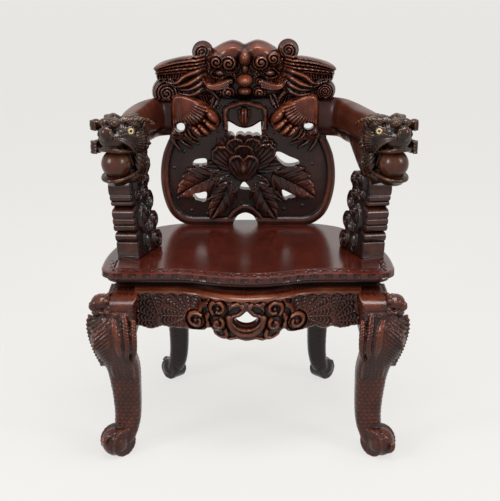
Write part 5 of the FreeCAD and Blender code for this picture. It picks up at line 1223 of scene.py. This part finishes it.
# The arm supports: three stepped cloud rolls in front, spirals and long drops on both faces.
POST_FOOT = {"left": (-287, -63, 440), "right": (301, -63, 440)}
POST_LEAN = {"left": -5.6, "right": 4}
POST_LINE = [(-3, -2), (-7, 3), (-8, 22), (-7, 37), (-3, 40), (-7, 43), (-10, 50), (-8, 58), (-3, 62),
             (5, 64), (-5, 66), (-11, 71), (-12, 80), (-8, 83), (-12, 86), (-12, 96), (-8, 99), (-11, 102),
             (-12, 111), (-8, 119), (3, 124), (5, 126), (-3, 128), (-9, 132), (-10, 138), (-6, 141),
             (-11, 144), (-13, 152), (-10, 156), (-14, 159), (-15, 172), (-12, 186), (-4, 198), (4, 208),
             (52, 208), (72, 203), (86, 190), (88, 172), (76, 154), (92, 146), (101, 130), (98, 112),
             (82, 98), (102, 92), (114, 76), (110, 58), (95, 46), (114, 40), (124, 24), (118, 6), (106, -2)]
POST_TOP = 640
POST_DROPS = [(38, 30, 9, 21, 0), (30, 92, 8, 20, 8), (62, 62, 7, 15, -30), (74, 118, 7, 15, -14)]
POST_CURLS = [(88, 24, 25, 1), (84, 74, 20, -1), (56, 148, 19, 1), (22, 150, 15, -1), (40, 186, 17, -1),
              (54, 104, 15, 1), (70, 182, 16, 1)]


def post_side(y, z):
    """Relief of a support's face."""
    h = -3 + 1.2 * ripple(y * 2, z * 2, 22, 3)
    for cy, cz, wide, tall, tilt in POST_DROPS:
        oval = (y, z, cy, cz, wide + 7, tall + 8)
        ring = dome(*oval, 6, tilt, 0.35) - 5 * notch(dome(*oval, 1, tilt, 1) - 0.42, 0.13)
        h = over(h, np.where(dome(*oval, 1, tilt) > 0, ring, NOWHERE),
                 dome(y, z, cy, cz, wide, tall, 10, tilt))
    for cy, cz, r, way in POST_CURLS:
        h = over(h, whirl(y, z, cy, cz, r, 7, 2.2, way, 0.03 * cy, 0.8))
    for k in range(3):
        stem = [(20 + 7 * k, 60 - 4 * k), (12 + 6 * k, 78), (16 + 4 * k, 100 + 4 * k), (34, 124)]
        tuft = [(8 + 7 * k, 200), (4 + 5 * k, 184), (6 + 4 * k, 168)]
        h = over(h, bead(y, z, stem, 3.2, 6), bead(y, z, tuft, 3, 6, 0.3))
    return h


def post(side):
    """One support, carved alike on both faces, leant and turned to meet its arm."""
    way = SIDES[side]
    where = (Matrix.Translation(POST_FOOT[side]) @ Matrix.Rotation(math.radians(way * 22), 4, "Z")
             @ Matrix.Rotation(math.radians(POST_LEAN[side]), 4, "Y"))
    turn, move = np.array(where.to_3x3()), np.array(where.translation)

    def shape(y, z):
        return inside(y, z, round_line(POST_LINE, 3, True))

    def face(y, z):
        edge = edge_depth(shape(y, z))
        return 30.5 + post_side(y, z) * smooth(0, 10, edge) - 2.4 * (1 - smooth(0, 4, edge))

    def place(y, z, offset):
        p = np.stack([offset, y, z], 1) @ turn.T + move
        p[:, 2] = np.clip(p[:, 2], SEAT_TOP, POST_TOP)
        return p

    mesh = board((-18, 128, -4, 210), 1.5, shape, face, lambda y, z: -face(y, z), place)
    finish_piece("support_of_" + side, mesh, black_wood, "arm_support_" + side, sharp=46)


for side in SIDES:
    post(side)


# The arms: the dragons' smooth necks and shoulders, from the crest to the heads. Each station has its
# place as shares of the seat's half width and depth and of the back's height, its heading, and its
# width and height as shares of the arm's thickness.
ARM_THICK = 56
BACK_RISE = 302
ARM_STATIONS = {
    "left": [(0.69, 0.79, 0.965, 44, 0.52, 0.9), (0.757, 0.6, 0.965, 68, 0.6, 0.92),
             (0.8, 0.36, 0.96, 82, 0.63, 0.94), (0.82, -0.02, 0.877, 86, 0.6, 1.43)],
    "right": [(0.69, 0.79, 0.965, 44, 0.52, 0.9), (0.757, 0.6, 0.96, 66, 0.6, 0.92),
              (0.81, 0.36, 0.955, 78, 0.63, 0.93), (0.855, -0.02, 0.877, 80, 0.6, 1.43)],
}
ARM_ROOTS = {"left": 189, "right": 173}
# A dragon head's own axes: X outwards, Y from snout to neck, Z up.
HEADS = {"left": (-279, -96, 742), "right": (311, -96, 742)}
HEAD_TURN = 25
PEARL = (0, -55, -51)


def head_place(side):
    """Where a head's own axes lie in the chair."""
    way = SIDES[side]
    turn = Matrix.Rotation(math.radians(way * HEAD_TURN), 4, "Z")
    return Matrix.Translation(HEADS[side]) @ turn @ Matrix.Diagonal((way, 1, 1, 1))


def arm(side):
    """One arm, with a shallow line cut along its inner side."""
    way = SIDES[side]
    root = ARM_ROOTS[side]
    stations = [[(way * root, 234, 735), (0, 18, 0), (0, 0, 46)],
                [(way * (root + 10), 231, 735), (way * 7, 23, 0), (0, 0, 51)]]
    for x, y, z, heading, wide, tall in ARM_STATIONS[side]:
        a = math.radians(heading)
        half = wide * ARM_THICK
        stations.append([(way * x * SEAT_HALF, y * SEAT_REAR, SEAT_TOP + z * BACK_RISE),
                         (way * math.sin(a) * half, math.cos(a) * half, 0), (0, 0, tall * ARM_THICK)])
    head = head_place(side)
    neck, out = head @ Vector((0, 28, -26)), head.to_3x3() @ Vector((1, 0, 0))
    stations.append([tuple(neck), tuple(out * 33), (0, 0, 68)])
    mesh = timber(stations, 84, 190, 2.25)

    def carve(p, n):
        _, y, z = p.T
        h = 0.8 * ripple(y, z, 160, 1) + 0.8 * smooth(720, 700, z) * ripple(y * 2, z, 40)
        return h - 4 * notch(z - 716 + 0.06 * y, 5) * smooth(0.2, 0.8, -way * n[:, 0])

    cut_in(mesh, carve)
    finish_piece("arm_of_" + side, mesh, arm_wood, "arm_" + side, reach=8)


for side in SIDES:
    arm(side)


EYE_SPOT = (36, -46.4, 25)
EYE_LOOK = (0.78, -0.6, 0.18)
LID_SPOT = (34.4, -45, 25)
BALL_RADIUS = 34
MOUTH_RADIUS = 34.7
BEARD_FOOT = 637.4
WIDEST = (-376, 387.4)
# The masses of a dragon head, in its own axes: centre and half sizes.
HEAD_MASSES = [((0, 8, 12), (40, 50, 40)), ((0, -40, 24), (31, 42, 23)), ((0, -62, 8), (33, 34, 25)),
               ((1, -90, 25), (15, 16, 18)), ((-13, -76, 46), (12, 15, 10)), ((13, -74, 47), (12, 15, 10)),
               ((0, -60, 44), (16, 20, 12)), ((0, 4, -52), (36, 27, 52)), ((3, -46, -86), (32, 37, 15)),
               ((3, -44, -96), (25, 29, 9)), ((0, 2, -86), (34, 30, 24)), ((47, -60, 36), (14, 15, 14)),
               ((45, -60, -14), (16, 17, 16)), ((50, -18, 12), (14, 22, 20)), ((51, 4, -14), (15, 19, 20)),
               ((46, 8, -48), (13, 18, 20))]


def eye_ring(s):
    """A lid round a dragon's eye."""
    out, ahead, up = EYE_LOOK
    look = Vector((s * out, ahead, up)).normalized()
    across = look.cross(Vector((0, 0, 1))).normalized()
    upward = across.cross(look)
    centre = Vector(LID_SPOT) * Vector((s, 1, 1))
    return [(*(centre + across * (math.cos(a) * 9.6) + upward * (math.sin(a) * 8.2)), 3.0)
            for a in np.linspace(0, 2 * math.pi, 11)]


def head_locks():
    """Whiskers and lips, lids, brows and cheeks of both sides, then the ruff and the beard."""
    locks = []
    for k in range(4):
        locks.append([(38, -74, 44 - 6 * k, 2.4), (54, -68, 45 - 6 * k, 3.2), (61, -54, 43 - 6 * k, 2.4)])
        locks.append([(36, -76, -2 - 8 * k, 2.6), (52, -72, -2 - 8 * k, 3.6), (61, -56, -3 - 8 * k, 2.6)])
    for s, low in ((-1, 28), (1, 35)):
        locks.append([(s * 14, -86, 12, 3), (s * 17, -96, 22, 4), (s * 12, -92, 36, 3)])
        locks.append([(s * 35, -8, -27, 5), (s * 35, -48, -21, 5), (s * 24, -79, -16, 5.5), (0, -91, -12, 6)])
        locks.append([(s * low, -16, -78, 5), (s * low, -52, -82, 5), (s * low * 0.6, -76, -86, 5),
                      (0, -84, -87, 5)])
        locks.append(eye_ring(s))
        for k in range(5):
            locks.append([(s * (9 + 5 * k), -62 + 5 * k, 44 + k, 3.4),
                          (s * (19 + 6 * k), -42 + 5 * k, 53 - k, 4.8),
                          (s * (26 + 6 * k), -18 + 7 * k, 54 - 3 * k, 4),
                          (s * (31 + 5 * k), 6 + 8 * k, 48 - 5 * k, 2.4)])
        for k in range(6):
            locks.append([(s * (10 + 5 * k), -94 + 5 * k, 14 + 2 * k, 2.2),
                          (s * (28 + 3 * k), -78 + 7 * k, 8 + k, 3.4),
                          (s * (41 + k), -58 + 8 * k, -6 + 2 * k, 3.6),
                          (s * 45, -44 + 8 * k, -24 + 3 * k, 2.2)])
    for k in range(9):
        a = math.radians(-60 + 300 / 8 * k)
        c, d, back = max(math.cos(a), 0.66 * math.cos(a)), math.sin(a), 4 * (k % 2)
        locks.append([(c * 33, 8, d * 40 + 2, 7), (c * 38 + 2 * math.sin(k * 2), 28, d * 46 - 2, 7.5),
                      (c * 39, 48 + back, d * 47 - 5, 5.6), (c * 37, 62 + back, d * 46 - 7, 2.2)])
    for k in range(4):
        x, y = -24 + 3 * math.sin(1.9 * k), 40 - 15 * k
        locks.append([(x + 4, y + 6, 8, 4), (x - 4, y, -14, 7), (x + 3, y - 4, -42, 8), (x - 4, y, -68, 7),
                      (x + 6, y + 3, -96, 5)])
        x = 38 + 3 * math.cos(1.7 * k)
        locks.append([(x, y + 6, 0, 4), (x + 6, y, -22, 7), (x, y - 4, -48, 7.5), (x + 4, y, -72, 7),
                      (x - 4, y, -98, 5)])
    return locks


def dragon_head(side):
    """Snout, brows, curls and beard round the ball that the dragon holds."""
    bm = bmesh.new()
    for centre, sizes in HEAD_MASSES:
        lump(bm, centre, sizes)
    for s in SIDES.values():
        lump(bm, (s * 37, -12, -4), (16, 28, 26))
        lump(bm, (s * 33, -4, -44), (12, 19, 38))
        lump(bm, (s * 27, -22, 43), (17, 24, 12), (0, s * 24, 0))
    mesh = fuse([mesh_of(bm), strands(head_locks())], 1.7)
    ball = np.array(PEARL, float)

    def fur(p, n):
        x, y, z = p.T
        side_on = smooth(0.35, 0.7, np.abs(n[:, 0])) * smooth(24, 42, np.hypot(y + 84, z - 8))
        h = 0.85 * np.cos(np.arctan2(z - 8, y + 84) * 66 + 0.6 * np.sin(y / 7)) * side_on
        crown = 0.8 * np.cos(np.arctan2(z - 4, x) * 46 + 0.8 * np.sin(y / 9)) * (1 - side_on)
        h += crown * smooth(-60, -30, y)
        return h * smooth(-76, -60, z) * smooth(36, 42, np.linalg.norm(p - ball, axis=1))

    cut_in(mesh, fur)
    away = points_of(mesh) - ball
    far = np.linalg.norm(away, axis=1)[:, None]
    put_points(mesh, ball + away * np.maximum(1, MOUTH_RADIUS / np.maximum(far, 1e-9)))
    placed(mesh, head_place(side))
    x, y, z = points_of(mesh).T
    put_points(mesh, np.stack([np.clip(x, *WIDEST), y, np.maximum(z, BEARD_FOOT)], 1))
    finish_piece("dragon_of_" + side, mesh, fur_wood, "dragon_head_" + side, reach=5)


for side in SIDES:
    dragon_head(side)


def turned_piece(profile, spot, look, steps):
    """Spins a profile of radius and height round the way it looks."""
    bm = bmesh.new()
    line = [bm.verts.new((r, 0, h)) for r, h in profile]
    edges = [bm.edges.new(pair) for pair in zip(line, line[1:])]
    bmesh.ops.spin(bm, geom=line + edges, cent=(0, 0, 0), axis=(0, 0, 1), angle=2 * math.pi, steps=steps,
                   use_merge=True)
    bmesh.ops.remove_doubles(bm, verts=bm.verts[:], dist=0.01)
    bm.transform(Matrix.Translation(spot) @ look.to_track_quat("Z", "Y").to_matrix().to_4x4())
    return outward(bm)


def eyes(side):
    """Bone rings with horn pupils, set in the lids."""
    head = head_place(side)
    ring = [(0, -4), (5.5, -4), (7.2, -1), (7.2, 2.4), (6.2, 4.0), (4.4, 4.3), (3.3, 3.4), (2.8, 2.0),
            (0, 2.0)]
    pupil = [(0, 1.5), (2.6, 1.5), (2.6, 2.7), (1.8, 3.4), (0, 3.7)]
    for name, node, profile, steps, material in (("eye_rings_of_", "eyes_", ring, 32, bone),
                                                 ("eye_pupils_of_", "pupils_", pupil, 20, horn)):
        pair = []
        for s in SIDES.values():
            mirror = Vector((s, 1, 1))
            look = head.to_3x3() @ (Vector(EYE_LOOK) * mirror).normalized()
            pair.append(turned_piece(profile, head @ (Vector(EYE_SPOT) * mirror), look, steps))
        finish_piece(name + side, mesh_of(opened(*pair)), material, node + side, reach=2, sharp=40)


def pearl(side):
    """The ball that rolls in the dragon's mouth, turned and then rubbed by fingers."""
    bm = bmesh.new()
    lump(bm, head_place(side) @ Vector(PEARL), BALL_RADIUS, fine=6)
    mesh = mesh_of(bm)
    cut_in(mesh, lambda p, n: -0.15 + 0.12 * ripple(p[:, 0], p[:, 2], 22, 2))
    finish_piece("ball_of_" + side, mesh, ball_wood, "pearl_" + side, reach=10, body=side + "_ball")


for side in SIDES:
    eyes(side)
    pearl(side)


# The seat: one thick board, with a fret cut in its edge and a line of waves cut in its front border.
CORNER = 44


def seat_line():
    """The seat's outline in plan, as places at even steps round it."""
    front = [(x, float(serpent(np.array(x), 222, 36, 179.9))) for x in np.linspace(0, 302, 46)]
    corner = [(SEAT_HALF - CORNER * (1 - math.sin(a)), -142 - CORNER * math.cos(a))
              for a in np.linspace(0.1, math.pi / 2, 14)]
    side = round_line([(SEAT_HALF, -102), (342, -40), (329, 30.5), (305, 102), (276.1, 162.3), (256, 190),
                       (237, 209.7), (210, 226), (177.2, 239.9)], 8)[1:]
    rear = [(x, SEAT_REAR - (SEAT_REAR - 239.9) * (x / 177.2) ** 2) for x in np.linspace(170, 0, 20)]
    right = np.array(front + corner + [tuple(v) for v in side] + rear)
    ring, steps = ring_of(np.concatenate([right, right[-2:0:-1] * (-1, 1)]))
    even = np.linspace(0, steps[-1], 240, endpoint=False)
    return np.stack([np.interp(even, steps, ring[:, 0]), np.interp(even, steps, ring[:, 1])], 1)


SEAT_LINE = seat_line()
SEAT_RING, SEAT_STEPS = ring_of(SEAT_LINE)
SEAT_ROUND = SEAT_STEPS[-1]


def fret(s, level):
    """Key blocks along the seat's edge: a plain raised bar, then a cut block with lines in it."""
    cell = (s / SEAT_ROUND * 60) % 1
    bar = smooth(0.02, 0.05, cell) * smooth(0.50, 0.47, cell)
    lines = 0.5 + 0.5 * np.sign(np.sin(cell * 2 * np.pi * 6) * np.sin(level * 2 * np.pi / 6.4))
    return 3.0 * (1 - bar) * (0.35 + 0.65 * lines) * smooth(0.5, 3, level) * smooth(15.5, 13, level)


def seat():
    """The board: a cut border on its top, and rows across its edge that are pressed in to the fret."""
    def shape(x, y):
        return inside(x, y, SEAT_LINE)

    def top(x, y):
        d, along = near(x, y, SEAT_LINE, True)
        rounding = 2.2 * (1 - smooth(0, 4, d))
        wave = np.abs(((along * SEAT_ROUND / 32) % 1) * 2 - 1)
        line = notch(d - 13 - 15 * wave, 1.9) + notch(d - 9, 1.6) + notch(d - 32, 1.6)
        line += notch(d - 20 - 3 * wave, 1.6) * (wave < 0.3)
        border = (y < -90) * smooth(332, 318, np.abs(x))
        return SEAT_TOP - rounding - 2.2 * np.clip(line, 0, 1) * border + 0.25 * ripple(x, y, 210, 2)

    bm = opened(board((-348, 348, -224, 279), 2.1, shape, top, lambda x, y: SEAT_UNDER + 0 * x,
                      lambda x, y, offset: np.stack([x, y, offset], 1)))
    under = [f for f in bm.faces if f.normal.z < -0.9]
    bmesh.ops.dissolve_faces(bm, faces=under)
    walls = [e for e in bm.edges if abs(e.verts[0].co.z - e.verts[1].co.z) > 8]
    bmesh.ops.subdivide_edges(bm, edges=walls, cuts=7, use_grid_fill=True)
    mesh = mesh_of(bm)
    p = points_of(mesh)
    wall = (p[:, 2] > 424.5) & (p[:, 2] < 437.2)
    x, y = p[wall, 0], p[wall, 1]
    f = shape(x, y)
    on = np.abs(f) < 0.8
    gx, gy = shape(x + 0.3, y) - shape(x - 0.3, y), shape(x, y + 0.3) - shape(x, y - 0.3)
    size = np.maximum(np.hypot(gx, gy), 0.1)
    _, along = near(x, y, SEAT_LINE, True)
    depth = np.where(on, fret(along * SEAT_ROUND, p[wall, 2] - SEAT_UNDER), 0)
    p[wall, 0] = x - gx / size * depth
    p[wall, 1] = y - gy / size * depth
    put_points(mesh, p)
    finish_piece("seat_of_one_board", outward(opened(mesh)), seat_wood, "seat_board", sharp=45)


seat()


# The moulding and waist under the seat: four rails, a hollow, a round and a step, then the dark waist.
# The profile's heights, and how far in from the seat's edge the rail's face lies at each.
RAIL_PROFILE = [(396, 33), (402, 32), (406, 31), (409, 29), (410.5, 19), (411.5, 15), (414, 12.5),
                (417, 12), (419, 13), (420, 17), (421, 15.5), (423, 12), (424, 11)]
RAIL_REAR = 56


def rail(name, node, first, last):
    """A rail of the moulding, between two shares of the way round the seat."""
    levels, insets = zip(*RAIL_PROFILE)
    start, end = first * SEAT_ROUND, last * SEAT_ROUND
    at = np.linspace(0, SEAT_ROUND, len(SEAT_RING))
    way = np.roll(SEAT_LINE, -1, 0) - np.roll(SEAT_LINE, 1, 0)
    way, _ = ring_of(way / np.linalg.norm(way, axis=1)[:, None])

    def place(s, z, offset):
        x, y, wx, wy = [np.interp(s % SEAT_ROUND, at, run) for run in (*SEAT_RING.T, *way.T)]
        return np.stack([x - wy * offset, y + wx * offset, z], 1)

    mesh = board((start, end, RAIL_FOOT, SEAT_UNDER), 2.0,
                 lambda s, z: over(start - s, s - end, RAIL_FOOT - z, z - SEAT_UNDER + 0.1),
                 lambda s, z: np.interp(z, levels, insets) + 0.3 * ripple(s, z, 70),
                 lambda s, z: RAIL_REAR + 0 * s, place)
    finish_piece(name, mesh, carved, node, reach=4, sharp=50)


FRONT_SHARE = np.argmin(np.abs(SEAT_LINE[:, 0] - 300) + 9 * (SEAT_LINE[:, 1] > -100)) / len(SEAT_LINE)
REAR_SHARE = np.argmin(np.hypot(SEAT_LINE[:, 0] - 237, SEAT_LINE[:, 1] - 209)) / len(SEAT_LINE)
rail("moulding_of_front", "moulding_front", -FRONT_SHARE, FRONT_SHARE)
rail("moulding_of_right", "moulding_right", FRONT_SHARE, REAR_SHARE)
rail("moulding_of_rear", "moulding_rear", REAR_SHARE, 1 - REAR_SHARE)
rail("moulding_of_left", "moulding_left", 1 - REAR_SHARE, 1 - FRONT_SHARE)


# Studio: one pale sheet under and behind the chair, broad soft lamps and a pale room.
# The camera's place, tilt and lens are those of the one camera fitted to the photo, in metres and pixels.
FLOOR_LIFT = 0.755
ROOM_LIGHT = 0.45
ROOM_SEEN = 0.88
LAMPS = [
    ("lamp over", (0.1, -0.4, 2.9), (0, 0, 0.5), (1.5, 0.9), 55),
    ("lamp left", (-2.3, -1.7, 1.9), (0, 0, 0.55), (0.7, 1.1), 40),
    ("lamp right", (2.4, -1.6, 2.0), (0, 0, 0.55), (0.7, 1.1), 34),
]
CAMERA_SPOT = (0, -2.578, 1.240)
CAMERA_TILT = 17.3
FOCUS_PIXELS = 1083
PHOTO_PIXELS = 500
SENSOR = 36


def seen_rays(tree):
    """1 for rays that show the background, straight on or in metal or glass, and 0 for others."""
    straight, glossy, through = [put(tree, "ShaderNodeLightPath", {}, "Is %s Ray" % kind)
                                 for kind in ("Camera", "Glossy", "Transmission")]
    both = put(tree, "ShaderNodeMath", {0: straight, 1: glossy}, operation="MAXIMUM")
    return put(tree, "ShaderNodeMath", {0: both, 1: through}, operation="MAXIMUM")


def paper_floor():
    """Matt white paper: even and pale, with a soft shadow under the feet."""
    bm = bmesh.new()
    bmesh.ops.create_grid(bm, x_segments=1, y_segments=1, size=30)
    floor = show("floor", mesh_of(bm))
    material, tree, shader = blank("matt white paper, rolled out")
    lift = put(tree, "ShaderNodeMath", {0: seen_rays(tree), 1: FLOOR_LIFT}, operation="MULTIPLY")
    wire(tree, shader, {"Base Color": linear("#646361"), "Roughness": 0.9,
                        "Emission Color": linear("#f6f5f2"), "Emission Strength": lift})
    floor.data.materials.append(material)


def pale_room():
    """A pale room that lights the wood less than it shows in the picture."""
    world = bpy.data.worlds.new("pale room")
    world.use_nodes = True
    tree = world.node_tree
    level = put(tree, "ShaderNodeMapRange", {"Value": seen_rays(tree), "To Min": ROOM_LIGHT,
                                             "To Max": ROOM_SEEN}, "Result")
    wire(tree, tree.nodes["Background"], {"Color": linear("#f2f1ef"), "Strength": level})
    bpy.context.scene.world = world


def lamps():
    """Three soft boxes: one over the chair and one to each side in front."""
    for name, place, aim, size, power in LAMPS:
        lamp = bpy.data.lights.new(name, "AREA")
        lamp.shape = "RECTANGLE"
        lamp.size, lamp.size_y = size
        lamp.energy = power
        holder = show(name, lamp)
        holder.location = place
        holder.rotation_euler = (Vector(aim) - Vector(place)).to_track_quat("-Z", "Y").to_euler()


def camera():
    """The photo's view."""
    eye = bpy.data.cameras.new("view")
    eye.lens = FOCUS_PIXELS / PHOTO_PIXELS * SENSOR
    eye.sensor_width = SENSOR
    eye.shift_x = 0.004
    holder = show("view", eye)
    holder.location = CAMERA_SPOT
    holder.rotation_euler = (math.radians(90 - CAMERA_TILT), 0, 0)
    bpy.context.scene.camera = holder
    bpy.context.scene.view_settings.view_transform = "Standard"


paper_floor()
pale_room()
lamps()
camera()
